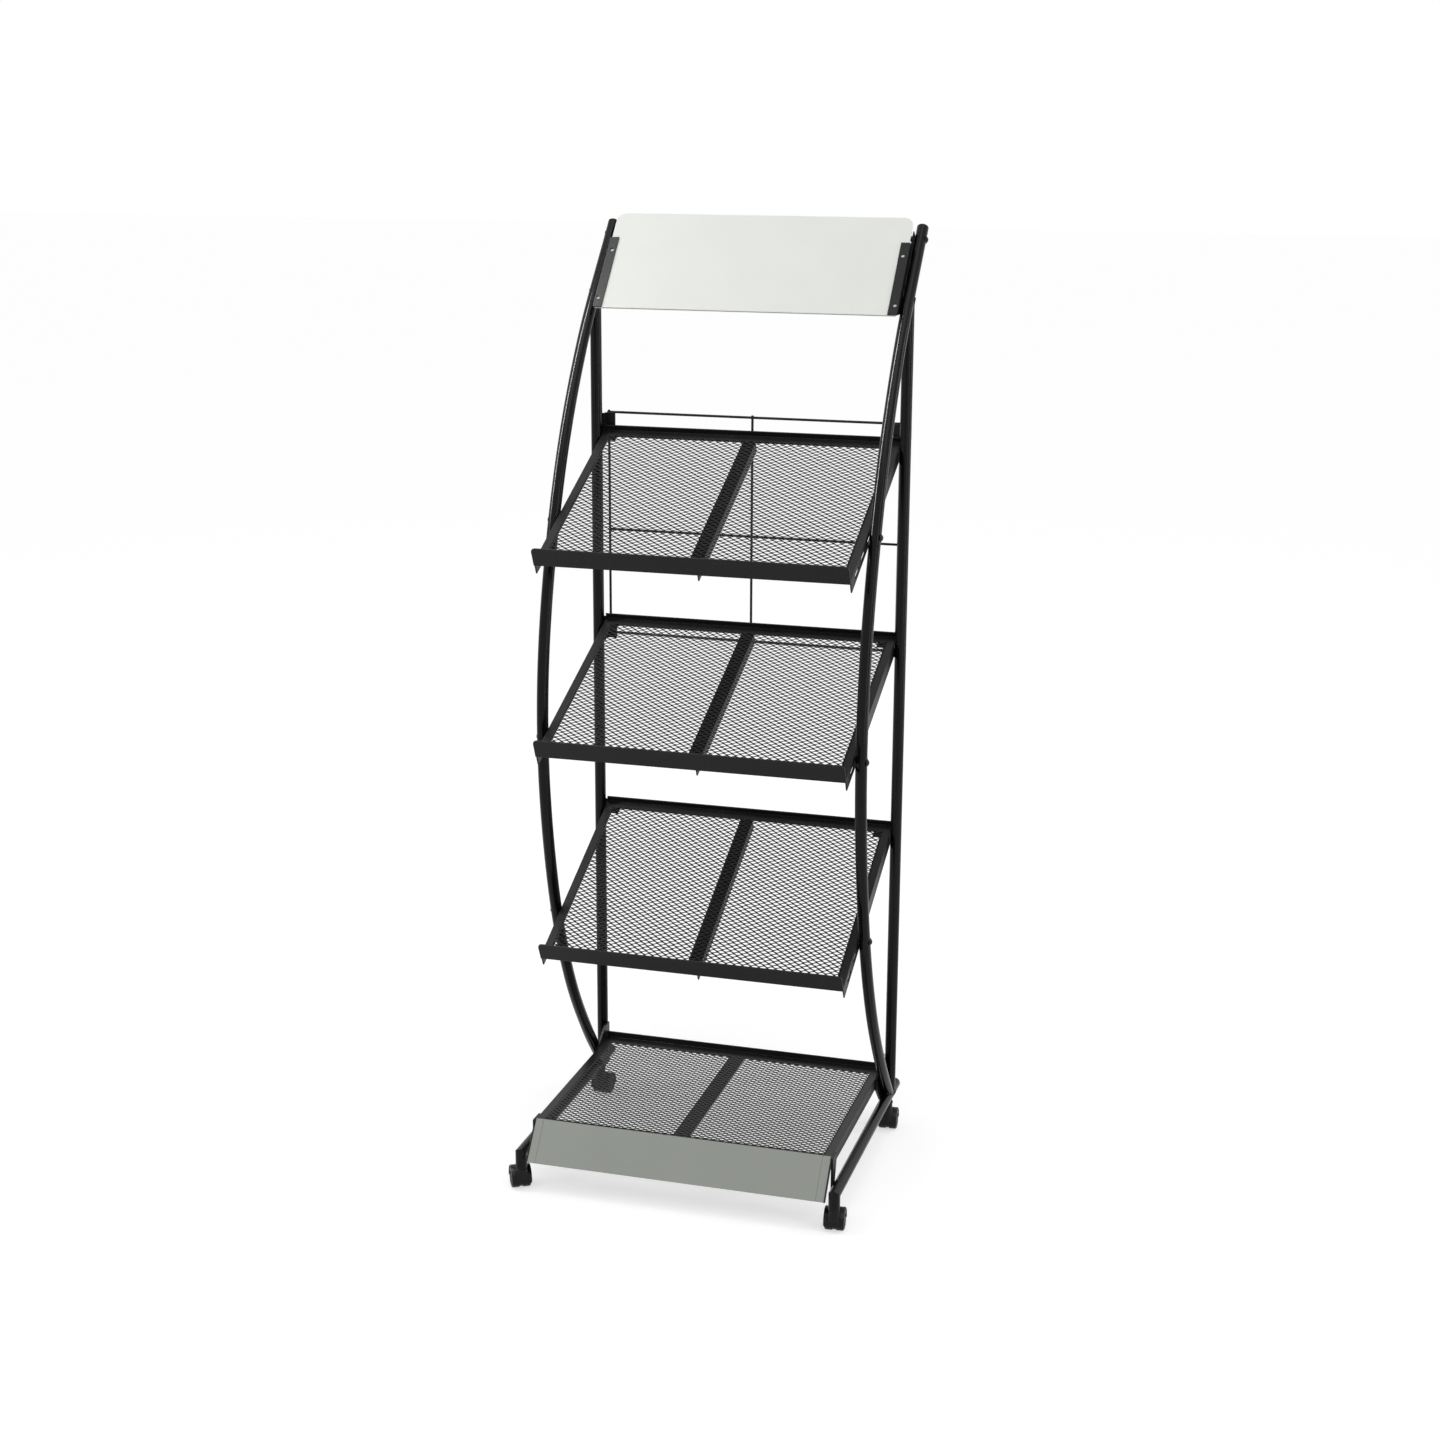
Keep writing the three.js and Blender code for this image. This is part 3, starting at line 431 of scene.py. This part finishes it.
def coated(name, colour, rough, mottle, grain, depth, shine=0.2, metallic=0.0, edge=0.0, edge_sheen_and_wear=1.0):
    """Paint or moulded plastic: clouded colour, uneven gloss, fine grain, edges rounded, and an edge colour of
    painted highlight and rubbed wear.
    """
    material = bpy.data.materials.new(name)
    material.use_nodes = True
    tree = material.node_tree
    link = tree.links.new
    shader = tree.nodes["Principled BSDF"]
    shader.inputs["Metallic"].default_value = metallic
    shader.inputs["Specular IOR Level"].default_value = shine
    place = add_node(tree, "ShaderNodeTexCoord")
    cloud = add_node(tree, "ShaderNodeTexNoise", {"Scale": CLOUD_SCALE, "Detail": CLOUD_DETAIL})
    link(place.outputs["Object"], cloud.inputs["Vector"])
    tint = add_node(tree, "ShaderNodeValToRGB")
    dark, light = tint.color_ramp.elements
    dark.position, light.position = CLOUD_RANGE
    dark.color = (*(c * (1 - mottle) for c in colour), 1)
    light.color = (*(c * (1 + mottle) for c in colour), 1)
    link(cloud.outputs["Fac"], tint.inputs["Fac"])
    gloss_range = {"To Min": rough - GLOSS_SPREAD, "To Max": rough + GLOSS_SPREAD}
    gloss = add_node(tree, "ShaderNodeMapRange", gloss_range)
    link(cloud.outputs["Fac"], gloss.inputs["Value"])
    link(gloss.outputs["Result"], shader.inputs["Roughness"])
    peel = add_node(tree, "ShaderNodeTexNoise", {"Scale": grain, "Detail": PEEL_DETAIL})
    link(place.outputs["Object"], peel.inputs["Vector"])
    bump = add_node(tree, "ShaderNodeBump", {"Strength": PEEL_STRENGTH, "Distance": depth})
    link(peel.outputs["Fac"], bump.inputs["Height"])
    link(bump.outputs["Normal"], shader.inputs["Normal"])
    if edge == 0:
        link(tint.outputs["Color"], shader.inputs["Base Color"])
        return material

    # Where the rounded normal leaves the flat one there is an edge; there the colour is scaled by the edge factor,
    # a painted highlight along the folds together with rubbed wear
    rounding = add_node(tree, "ShaderNodeBevel", {"Radius": edge * MM}, samples=EDGE_SAMPLES)
    link(rounding.outputs["Normal"], bump.inputs["Normal"])
    surface = add_node(tree, "ShaderNodeNewGeometry")
    agree = add_node(tree, "ShaderNodeVectorMath", operation="DOT_PRODUCT")
    link(rounding.outputs["Normal"], agree.inputs[0])
    link(surface.outputs["Normal"], agree.inputs[1])
    sheen_and_wear_ramp = add_node(tree, "ShaderNodeMapRange", {"From Min": SHEEN_AND_WEAR_START, "From Max": SHEEN_AND_WEAR_FULL})
    link(agree.outputs["Value"], sheen_and_wear_ramp.inputs["Value"])
    sheen_and_wear_mask = add_node(tree, "ShaderNodeMath", operation="MULTIPLY")
    link(sheen_and_wear_ramp.outputs["Result"], sheen_and_wear_mask.inputs[0])
    link(cloud.outputs["Fac"], sheen_and_wear_mask.inputs[1])
    sheen_and_wear_colour = (*(min(c * edge_sheen_and_wear, 1.0) for c in colour), 1)
    blend = add_node(tree, "ShaderNodeMix", {"B": sheen_and_wear_colour}, data_type="RGBA")
    link(sheen_and_wear_mask.outputs["Value"], blend.inputs["Factor"])
    link(tint.outputs["Color"], blend.inputs["A"])
    link(blend.outputs["Result"], shader.inputs["Base Color"])
    return material


FRAME_BLACK = coated(
    "frame_black", (0.0028, 0.0029, 0.0035),
    rough=0.18, mottle=0.2, grain=800, depth=0.00003, shine=0.15,
)
# The edge factor paints a highlight along the folds together with rubbed wear: eight times lighter on shelves and
# brackets, a little lighter on the front panel, a little darker on the header
SHELF_BLACK = coated(
    "shelf_black", (0.0070, 0.0073, 0.0080),
    rough=0.40, mottle=0.18, grain=800, depth=0.00008, shine=0.2, edge=1.5, edge_sheen_and_wear=8.0,
)
BRACKET_BLACK = coated(
    "bracket_black", (0.0055, 0.0057, 0.0063),
    rough=0.38, mottle=0.18, grain=800, depth=0.00008, shine=0.17, edge=1.0, edge_sheen_and_wear=8.0,
)
MESH_BLACK = coated(
    "mesh_black", (0.0150, 0.0155, 0.0160),
    rough=0.42, mottle=0.15, grain=900, depth=0.00004, shine=0.3,
)
WIRE_BLACK = coated(
    "wire_black", (0.0080, 0.0082, 0.0088),
    rough=0.40, mottle=0.15, grain=900, depth=0.00005,
)
PANEL_GREY = coated(
    "panel_grey", (0.265, 0.281, 0.253),
    rough=0.5, mottle=0.02, grain=900, depth=0.00002, shine=0.25, edge=0.7, edge_sheen_and_wear=1.12,
)
HEADER_WHITE = coated(
    "header_white", (0.732, 0.750, 0.711),
    rough=0.42, mottle=0.012, grain=500, depth=0.00002, shine=0.2, edge=0.5, edge_sheen_and_wear=0.8,
)
CASTER_BLACK = coated(
    "caster_plastic", (0.0045, 0.0046, 0.0050),
    rough=0.30, mottle=0.12, grain=1200, depth=0.00004, shine=0.18,
)
WHEEL_BLACK = coated(
    "wheel_plastic", (0.0040, 0.0040, 0.0044),
    rough=0.40, mottle=0.15, grain=900, depth=0.00005, shine=0.15,
)
CAP_BLACK = coated(
    "cap_plastic", (0.0060, 0.0060, 0.0064),
    rough=0.40, mottle=0.12, grain=1100, depth=0.00004, shine=0.2,
)
BOLT_BLACK = coated(
    "bolt_black", (0.0130, 0.0130, 0.0135),
    rough=0.34, mottle=0.2, grain=1500, depth=0.00003, metallic=0.3,
)
AXLE_STEEL = coated(
    "axle_steel", (0.42, 0.42, 0.43),
    rough=0.30, mottle=0.08, grain=1800, depth=0.00002, metallic=1.0,
)

SLOT_MATERIALS = {
    "frame_black": BRACKET_BLACK,
    "shelf_black": SHELF_BLACK,
    "mesh_black": MESH_BLACK,
    "wire_black": WIRE_BLACK,
    "panel_grey": PANEL_GREY,
    "header_white": HEADER_WHITE,
    "caster_plastic": CASTER_BLACK,
    "wheel_plastic": WHEEL_BLACK,
    "cap_plastic": CAP_BLACK,
    "axle_steel": AXLE_STEEL,
}

# Every carried-over solid takes the material of its slot
for part in frame["record"]["subparts"]:
    node = frame["nodes"][part["node"]]
    node.data.materials.clear()
    node.data.materials.append(SLOT_MATERIALS[part["material_slot"]])


def stand_in(shape, node, material, body=RACK, sharp=CREASE):
    """Show a finer form in place of a carried-over solid."""
    piece = shape.piece(f"{node}_smooth", material, body, sharp)
    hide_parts(node)


def extra(shape, name, material):
    """A fitting that only the looks have."""
    shape.piece(name, material)


# Side frames


def straight(x, *corners):
    """Corners of a straight-sided path in the plane of one side frame."""
    return [Vector((x, y, z)) for y, z in corners]


def end_profile(inner):
    """A piece in a tube's end, with a rounded rim: a plug from its axis, or a bush from its bore."""
    rim = arc((TUBE_R - CAP_ROUND, CAP_THICK - CAP_ROUND), CAP_ROUND, 0, 90, CAP_STEPS)
    return [(inner, 0), (TUBE_R, 0), *rim, (inner, CAP_THICK)]


def weld_steps():
    """Steps round a tube that never fall on its crown."""
    return around(BEAD_STEPS, 0.5)


def upright_foot():
    """Line where the upright's skin meets the rail's skin."""
    return [Vector((TUBE_R * c, TUBE_R * s, RAIL_Z + TUBE_R * abs(s))) for c, s in weld_steps()]


def upright_head(point, along):
    """Line where the upright's skin meets the underside of the bow."""
    line = []
    for c, s in weld_steps():
        y = TUBE_R * s
        z = point.z + ((y - point.y) * along.z - TUBE_R * abs(s)) / along.y
        line.append(Vector((TUBE_R * c, y, z)))
    return line


def bow_foot():
    """Line where the bow's skin meets the top of the rail."""
    start = BOW_LINE[0]
    along = (BOW_LINE[1] - BOW_LINE[0]).normalized()
    up = along.cross(Vector((1, 0, 0)))
    line = []
    for c, s in weld_steps():
        reach = (TUBE_R * abs(s) - TUBE_R * s * up.z) / along.z
        line.append(start + Vector((TUBE_R * c, 0, 0)) + up * (TUBE_R * s) + along * reach)
    return line


crossing = next(k for k, p in enumerate(BOW_LINE) if k > len(BOW_LINE) / 2 and p.y >= 0)
head = BOW_LINE[crossing]
head_along = (BOW_LINE[crossing + 1] - BOW_LINE[crossing - 1]).normalized()

for label, side in SIDES:
    x = side * SPAN / 2
    offset = Vector((x, 0, 0))
    rail = straight(
        x, (LEG_Y, LEG_LOW + CAP_THICK), (LEG_Y, RAIL_Z), (RAIL_REAR - CAP_THICK, RAIL_Z),
    )
    bow = [p + offset for p in BOW_LINE]
    tubes = {
        f"base_rail_{label}": rail,
        f"rear_upright_{label}": straight(x, (0, RAIL_Z), (0, head.z)),
        f"bow_tube_{label}": bow,
    }
    for node, path in tubes.items():
        stand_in(Shape().add(*tube_along(path, TUBE_R)), node, FRAME_BLACK)
    ends = {
        f"rail_cap_rear_{label}": (rail[-1], Vector((0, 1, 0))),
        f"bow_cap_{label}": (bow[-1], bow[-1] - bow[-2]),
    }
    for node, (point, outward) in ends.items():
        cap = Shape().add(*lathe(end_profile(AXIS)), facing(point, outward))
        stand_in(cap, node, CAP_BLACK)
    bush = Shape().add(*lathe(end_profile(BUSH_BORE), closed=True), facing(rail[0], Vector((0, 0, -1))))
    stand_in(bush, f"leg_bush_{label}", CAP_BLACK)
    welds = Shape()
    for path in (upright_foot(), upright_head(head, head_along), bow_foot()):
        welds.add(*bead_along([p + offset for p in path]))
    extra(welds, f"tube_welds_{label}", FRAME_BLACK)


# Expanded metal


def expanded_sheet(node, half, front, rear, strand, place):
    """Strands that run the long way in a zigzag and meet their neighbours at the bonds."""
    wide, thick, lean_degrees = strand
    columns = round(2 * (2 * half) / LONG_WAY)
    step = 2 * half / columns
    rows = round(2 * (rear - front) / SHORT_WAY)
    pitch = (rear - front) / rows
    lean = math.radians(lean_degrees)
    swing = (pitch - wide * math.cos(lean)) / 2
    flat = Vector((0, math.cos(lean), math.sin(lean))) * (wide / 2)
    deep = Vector((0, -math.sin(lean), math.cos(lean))) * (thick / 2)
    lift = Vector((0, 0, abs(flat.z) + deep.z + SHEET_LIFT))
    shape = Shape()
    for row in range(rows):
        middle = front + pitch * (row + 0.5)
        rings = []
        for column in range(columns + 1):
            sign = 1 if (row + column) % 2 else -1
            begin = 0 if column == 0 else -BOND / 2
            end = 0 if column == columns else BOND / 2
            for along in (begin, end):
                point = Vector((-half + step * column + along, middle + sign * swing, 0)) + lift
                rings.append([
                    point - flat - deep, point + flat - deep, point + flat + deep, point - flat + deep,
                ])
        shape.add(*loft(rings), place)
    stand_in(shape, node, MESH_BLACK, sharp=0)


for name, rear_z, slope in SHELVES:
    expanded_sheet(
        f"{name}_mesh",
        SHELF_HALF - SIDE_FLANGE + SHEET_OVER,
        -SHELF_LONG + SHEET + SHEET_EDGE,
        -REAR_FLANGE + SHEET_OVER,
        SHELF_STRAND,
        place_of(0, SHELF_REAR, rear_z, slope),
    )
expanded_sheet(
    "tray_mesh",
    TRAY_HALF - TRAY_FLANGE + SHEET_OVER,
    TRAY_FRONT + TRAY_FRONT_FLANGE - SHEET_OVER,
    TRAY_REAR - TRAY_REAR_FLANGE + SHEET_OVER,
    TRAY_STRAND,
    place_of(0, 0, TRAY_Z),
)


# Bolts through the tubes, with a washer under each raised head and a nut on the inner flange


def bolt_profile(high):
    """A domed head with a round socket."""
    socket = BOLT_R * SOCKET_WIDE
    floor = high * SOCKET_FLOOR
    dome = []
    for degree in range(0, DOME_END + 1, DOME_STEP):
        angle = math.radians(degree)
        dome.append((BOLT_R * math.cos(angle), high * math.sin(angle)))
    return [(AXIS, 0), *dome, (socket, high * SOCKET_RIM), (socket, floor), (AXIS, floor)]


def bolt(shape, point, outward, high):
    """A bolt's head; one that lies flat has no washer."""
    place = facing(point, outward)
    if high > WASHER_THICK:
        washer = [
            (AXIS, 0), (WASHER_R, 0), (WASHER_R, WASHER_THICK * WASHER_EDGE),
            (WASHER_R * WASHER_TOP, WASHER_THICK), (AXIS, WASHER_THICK),
        ]
        shape.add(*lathe(washer, BOLT_SIDES), place)
        place = place @ Matrix.Translation((0, 0, WASHER_THICK))
    shape.add(*lathe(bolt_profile(high), BOLT_SIDES), place)


def nut(shape, point, outward):
    """A six-sided nut with the end of its thread."""
    place = facing(point, outward)
    reach = NUT_ACROSS / 2 / math.cos(math.pi / NUT_SIDES)
    rings = []
    for radius, height in ((reach, 0), (reach, NUT_HIGH - NUT_EASE), (reach * NUT_TOP, NUT_HIGH)):
        rings.append([(radius * c, radius * s, height) for c, s in around(NUT_SIDES)])
    shape.add(*loft(rings), place)
    end = NUT_HIGH + THREAD_OUT
    thread = [
        (AXIS, 0), (THREAD_R, 0), (THREAD_R, end - THREAD_EASE),
        (THREAD_R - THREAD_EASE, end), (AXIS, end),
    ]
    shape.add(*lathe(thread, THREAD_SIDES), place)


def through_tube(shape, point, side, inner, high):
    """A bolt from the outside of a tube, and its nut on the flange's inner face."""
    out = Vector((side, 0, 0))
    bolt(shape, point + out * (SPAN / 2 + TUBE_R - BOLT_SINK), out, high)
    nut(shape, point + out * inner, -out)


def bolt_level(rear_z, slope, y):
    """Height of the bolt line of a shelf's side flange at a place along Y."""
    angle = math.radians(slope)
    along = (y - SHELF_REAR - BOLT_DROP * math.sin(angle)) / math.cos(angle)
    return rear_z + along * math.sin(angle) - BOLT_DROP * math.cos(angle)


for name, rear_z, slope in SHELVES:
    on_bow = min(BOW_LINE[BOW_STEPS:], key=lambda p: abs(bolt_level(rear_z, slope, p.y) - p.z))
    on_upright = Vector((0, 0, bolt_level(rear_z, slope, 0)))
    for label, side in SIDES:
        shape = Shape()
        through_tube(shape, on_bow, side, SHELF_HALF - SHEET, BOLT_HIGH[label])
        nut(shape, on_upright + Vector((side * (SHELF_HALF - SHEET), 0, 0)), Vector((-side, 0, 0)))
        extra(shape, f"{name}_bolts_{label}", BOLT_BLACK)


# Header panel with its rounded upper corners, and the bolts of its brackets
sign_place = place_of(0, *SIGN_FOOT, -SIGN_LEAN)


def sign_outline(inset):
    """The panel's outline as (X, height) points, drawn in by the inset."""
    half = SIGN_HALF - inset
    high = SIGN_HIGH - inset
    radius = SIGN_CORNER - inset
    right = arc((half - radius, high - radius), radius, 0, 90, SIGN_CORNER_STEPS)
    left = arc((-half + radius, high - radius), radius, 90, 180, SIGN_CORNER_STEPS)
    return [(-half, inset), (half, inset), *right, *left]


sign_rings = []
for inset, depth in (
    (SIGN_ROUND, 0), (0, SIGN_ROUND), (0, SIGN_THICK - SIGN_ROUND), (SIGN_ROUND, SIGN_THICK),
):
    sign_rings.append([(a, depth, b) for a, b in sign_outline(inset)])
stand_in(Shape().add(*loft(sign_rings), sign_place), "sign_panel", HEADER_WHITE)

tab_bolt = WORLD.inverted() @ (sign_place @ Vector((0, *BRACKET_TAB_BOLT)))
for label, side in SIDES:
    shape = Shape()
    through_tube(shape, tab_bolt, side, SHELF_HALF - BRACKET_SHEET, BOLT_HIGH[label])
    extra(shape, f"sign_bracket_bolt_{label}", BOLT_BLACK)


# Return along both ends of the front panel, coloured black as painted shade: the flange there reads dark because
# it lies in shadow
trim_out = PANEL_HALF + TRIM_WIDE
trim_corners = [
    (PANEL_HALF, -TRIM_PROUD), (trim_out, -TRIM_PROUD), (trim_out, TRIM_DEEP), (PANEL_HALF, TRIM_DEEP),
]
for label, side in SIDES:
    rings = []
    for share in (TRIM_START, 1.0):
        y, z = (a + (b - a) * share for a, b in zip(PANEL_TOP, PANEL_LOW))
        rings.append([(side * x, y + deep, z) for x, deep in trim_corners[::side]])
    extra(Shape().add(*loft(rings)), f"panel_shaded_return_{label}", BRACKET_BLACK)


# Wire grid of round wires welded where they cross


def wire(shape, start, end):
    """A round wire with eased ends."""
    start, end = Vector(start), Vector(end)
    long = (end - start).length
    thin = WIRE_R - WIRE_ROUND
    profile = [
        (AXIS, 0), (thin, 0), (WIRE_R, WIRE_ROUND),
        (WIRE_R, long - WIRE_ROUND), (thin, long), (AXIS, long),
    ]
    shape.add(*lathe(profile, WIRE_SIDES), facing(start, end - start))


grid = Shape()
behind = GRID_Y + 2 * WIRE_R - WIRE_SINK
for x in (-GRID_HALF, 0, GRID_HALF):
    wire(grid, (x, GRID_Y, GRID_HEIGHTS[0] - WIRE_END), (x, GRID_Y, GRID_HEIGHTS[-1] + WIRE_END))
for z in GRID_HEIGHTS:
    wire(grid, (-GRID_HALF - WIRE_END, behind, z), (GRID_HALF + WIRE_END, behind, z))
stand_in(grid, "back_grid", WIRE_BLACK)

# Each clip is welded to its upright along its lower edge
seam = [
    (AXIS, 0), (CLIP_WELD_R, CLIP_WELD_R / 2),
    (CLIP_WELD_R, CLIP_WELD_LONG - CLIP_WELD_R / 2), (AXIS, CLIP_WELD_LONG),
]
for label, side in SIDES:
    seams = Shape()
    for z in CLIP_LOWS:
        start = Vector((side * CLIP_WELD_IN, CLIP_WELD_Y, z))
        seams.add(*lathe(seam, BEAD_SIDES), facing(start, Vector((side, 0, 0))))
    extra(seams, f"clip_welds_{label}", FRAME_BLACK)


# Casters: hood with web, neck and collar, twin wheels with dished hubs
JOINTS = {joint["name"]: joint for joint in frame["joints"]}
wheel_in = WEB_HALF + WHEEL_PLAY
wheel_out = wheel_in + WHEEL_WIDE
hood_in = WHEEL_R + HOOD_GAP
hood_out = hood_in + HOOD_THICK
hood_half = wheel_out + WHEEL_PLAY
NECK_TOP = {"front": LEG_LOW - NECK_CLEAR, "rear": RAIL_Z - TUBE_R - NECK_CLEAR}
ACROSS = Matrix(((0, 0, 1, 0), (1, 0, 0, 0), (0, 1, 0, 0), (0, 0, 0, 1)))  # lays a form's Z along the axle


def hood_section():
    """The hood's skin across the wheels, as (X, radius) points with rounded outer edges."""
    rounded = HOOD_ROUND * HOOD_EASE
    right = [
        (hood_half, hood_in),
        (hood_half, hood_out - HOOD_ROUND),
        (hood_half - rounded, hood_out - rounded),
        (hood_half - HOOD_ROUND, hood_out),
    ]
    return right + [(-x, r) for x, r in right[::-1]]


def neck_profile(top):
    """The neck above the hood, with a collar under the tube; a short one has no waist."""
    foot = [(NECK_R + past, NECK_LOW + above) for past, above in NECK_FOOT]
    waist = []
    if top > NECK_LOW + NECK_WAIST_LEAST:
        waist = [(NECK_R + past, NECK_LOW + above) for past, above in NECK_WAIST]
        waist.append((NECK_R, top - NECK_WAIST_END))
    collar = [(NECK_R + past, top - below) for past, below in NECK_COLLAR]
    return [(AXIS, NECK_LOW), *foot, *waist, *collar, (AXIS, top)]


def hood_shape(place, neck_top):
    """Hood, the web between the wheels as arch and disc, and the neck."""
    shape = Shape()
    shell = []
    for degree in range(-HOOD_DROP, 180 + HOOD_DROP + 1, HOOD_STEP):
        c = math.cos(math.radians(degree))
        s = math.sin(math.radians(degree))
        shell.append([(x, TRAIL + r * c, WHEEL_R + r * s) for x, r in hood_section()])
    shape.add(*loft(shell), place)
    arch = arc((TRAIL, WHEEL_R), hood_in + HOOD_THICK / 4, -HOOD_DROP, 180 + HOOD_DROP, ARCH_STEPS)
    shape.add(*extruded(arch, -WEB_HALF, WEB_HALF), place @ ACROSS)
    disc = arc((TRAIL, WHEEL_R), WEB_R, 0, 360 - WEB_STEP, 360 // WEB_STEP - 1)
    shape.add(*extruded(disc, -WEB_HALF + HAIR, WEB_HALF - HAIR), place @ ACROSS)
    return shape.add(*lathe(neck_profile(neck_top), NECK_SIDES), place)


def wheel_profile():
    """Half section of a wheel from its inner face to the dished hub on its outer face."""
    centre = (WHEEL_R - WHEEL_DOME, WHEEL_WIDE - WHEEL_DOME)
    inner = [(WHEEL_BORE, 0), (WHEEL_R - WHEEL_EASE, 0), (WHEEL_R, WHEEL_EASE)]
    tread = arc(centre, WHEEL_DOME, 0, WHEEL_DOME_END, WHEEL_DOME_STEPS)
    hub = [(radius, WHEEL_WIDE - below) for radius, below in HUB]
    return [*inner, *tread, *hub, (AXIS, WHEEL_WIDE)]


for corner in ("front_left", "front_right", "rear_left", "rear_right"):
    pivot = Vector(JOINTS[f"swivel_{corner}"]["pos_m"])
    axle = Vector(JOINTS[f"spin_{corner}_left"]["axis"])
    foot = Vector((pivot.x, pivot.y, ORIGIN.z))
    place = (
        Matrix.Translation(foot)
        @ Matrix.Rotation(math.atan2(axle.y, axle.x), 4, "Z")
        @ Matrix.Scale(MM, 4)
    )
    body = f"caster_{corner}"
    hood = hood_shape(place, NECK_TOP[corner.split("_")[0]])
    stand_in(hood, f"{body}_hood", CASTER_BLACK, body)
    for label, side in SIDES:
        spot = (
            place
            @ Matrix.Translation((side * wheel_in, TRAIL, WHEEL_R))
            @ Matrix.Rotation(side * math.pi / 2, 4, "Y")
        )
        node = f"{body}_wheel_{label}"
        wheel = Shape().add(*lathe(wheel_profile(), WHEEL_SIDES), spot)
        stand_in(wheel, node, WHEEL_BLACK, node)


# Floor, light and camera


def seen_directly(tree):
    """1 for rays from the camera and for mirror or glass rays, 0 for the light that bounces."""
    path = add_node(tree, "ShaderNodeLightPath")
    value = path.outputs["Is Camera Ray"]
    for kind in ("Is Glossy Ray", "Is Transmission Ray"):
        either = add_node(tree, "ShaderNodeMath", operation="MAXIMUM")
        tree.links.new(value, either.inputs[0])
        tree.links.new(path.outputs[kind], either.inputs[1])
        value = either.outputs["Value"]
    return value


def pale_coat():
    """A matte floor that looks white and still shows shadow."""
    material = bpy.data.materials.new("floor_pale")
    material.use_nodes = True
    tree = material.node_tree
    tree.nodes.clear()
    output = add_node(tree, "ShaderNodeOutputMaterial")
    matte = add_node(tree, "ShaderNodeBsdfDiffuse", {"Color": (FLOOR_GREY, FLOOR_GREY, FLOOR_GREY, 1)})
    glow = add_node(tree, "ShaderNodeEmission")
    level = add_node(tree, "ShaderNodeMath", {1: FLOOR_GLOW}, operation="MULTIPLY")
    tree.links.new(seen_directly(tree), level.inputs[0])
    tree.links.new(level.outputs["Value"], glow.inputs["Strength"])
    both = add_node(tree, "ShaderNodeAddShader")
    tree.links.new(matte.outputs["BSDF"], both.inputs[0])
    tree.links.new(glow.outputs["Emission"], both.inputs[1])
    tree.links.new(both.outputs["Shader"], output.inputs["Surface"])
    return material


def add_world():
    """An even white room, dimmer as a light than it looks."""
    world = bpy.data.worlds.new("studio")
    bpy.context.scene.world = world
    world.use_nodes = True
    tree = world.node_tree
    background = tree.nodes["Background"]
    background.inputs["Color"].default_value = (1, 1, 1, 1)
    level = add_node(tree, "ShaderNodeMapRange", {"To Min": WORLD_LIGHT, "To Max": 1.0})
    tree.links.new(seen_directly(tree), level.inputs["Value"])
    tree.links.new(level.outputs["Result"], background.inputs["Strength"])


def hang(name, lamp, place):
    """Place a lamp and turn it to the rack."""
    holder = bpy.data.objects.new(name, lamp)
    holder.location = at(*place)
    holder.rotation_euler = (at(*AIM) - at(*place)).to_track_quat("-Z", "Y").to_euler()
    bpy.context.scene.collection.objects.link(holder)
    return holder


def soft_box(name, place, wide, high, power):
    """A lit rectangle."""
    lamp = bpy.data.lights.new(name, "AREA")
    lamp.shape = "RECTANGLE"
    lamp.size = wide
    lamp.size_y = high
    lamp.energy = power
    return hang(name, lamp, place)


def soft_sky(name, place, spread, power):
    """Even light from above, the same over the whole floor."""
    lamp = bpy.data.lights.new(name, "SUN")
    lamp.angle = math.radians(spread)
    lamp.energy = power
    return hang(name, lamp, place)


def add_camera():
    """The fitted camera, turned by azimuth, downward tilt and roll."""
    lens = bpy.data.cameras.new("camera")
    lens.sensor_width = SENSOR
    lens.lens = FOCAL_PIXELS / IMAGE_PIXELS * SENSOR
    camera = bpy.data.objects.new("camera", lens)
    azimuth = math.radians(CAMERA_AZIMUTH)
    down = math.radians(CAMERA_DOWN)
    roll = math.radians(CAMERA_ROLL)
    forward = Vector((
        -math.sin(azimuth) * math.cos(down), math.cos(azimuth) * math.cos(down), -math.sin(down),
    ))
    level_right = Vector((math.cos(azimuth), math.sin(azimuth), 0))
    level_up = level_right.cross(forward)
    right = level_right * math.cos(roll) + level_up * math.sin(roll)
    up = right.cross(forward)
    turn = Matrix((right, up, -forward)).transposed()
    camera.matrix_world = Matrix.Translation(at(*CAMERA_PLACE)) @ turn.to_4x4()
    bpy.context.scene.collection.objects.link(camera)
    bpy.context.scene.camera = camera


floor_mesh = bpy.data.meshes.new("floor")
floor_mesh.from_pydata(
    [(a * FLOOR_HALF, b * FLOOR_HALF, 0.0) for a, b in ((-1, -1), (1, -1), (1, 1), (-1, 1))],
    [],
    [(0, 1, 2, 3)],
)
floor_mesh.materials.append(pale_coat())
floor = bpy.data.objects.new("floor", floor_mesh)
bpy.context.scene.collection.objects.link(floor)

add_world()
soft_sky("key_sky", *KEY_SKY)
strips = {name: soft_box(name, *strip) for name, strip in STRIPS.items()}
strips["gloss_strip"].visible_diffuse = False  # it only draws the long highlights on the tubes
add_camera()
bpy.context.scene.view_settings.view_transform = "Standard"
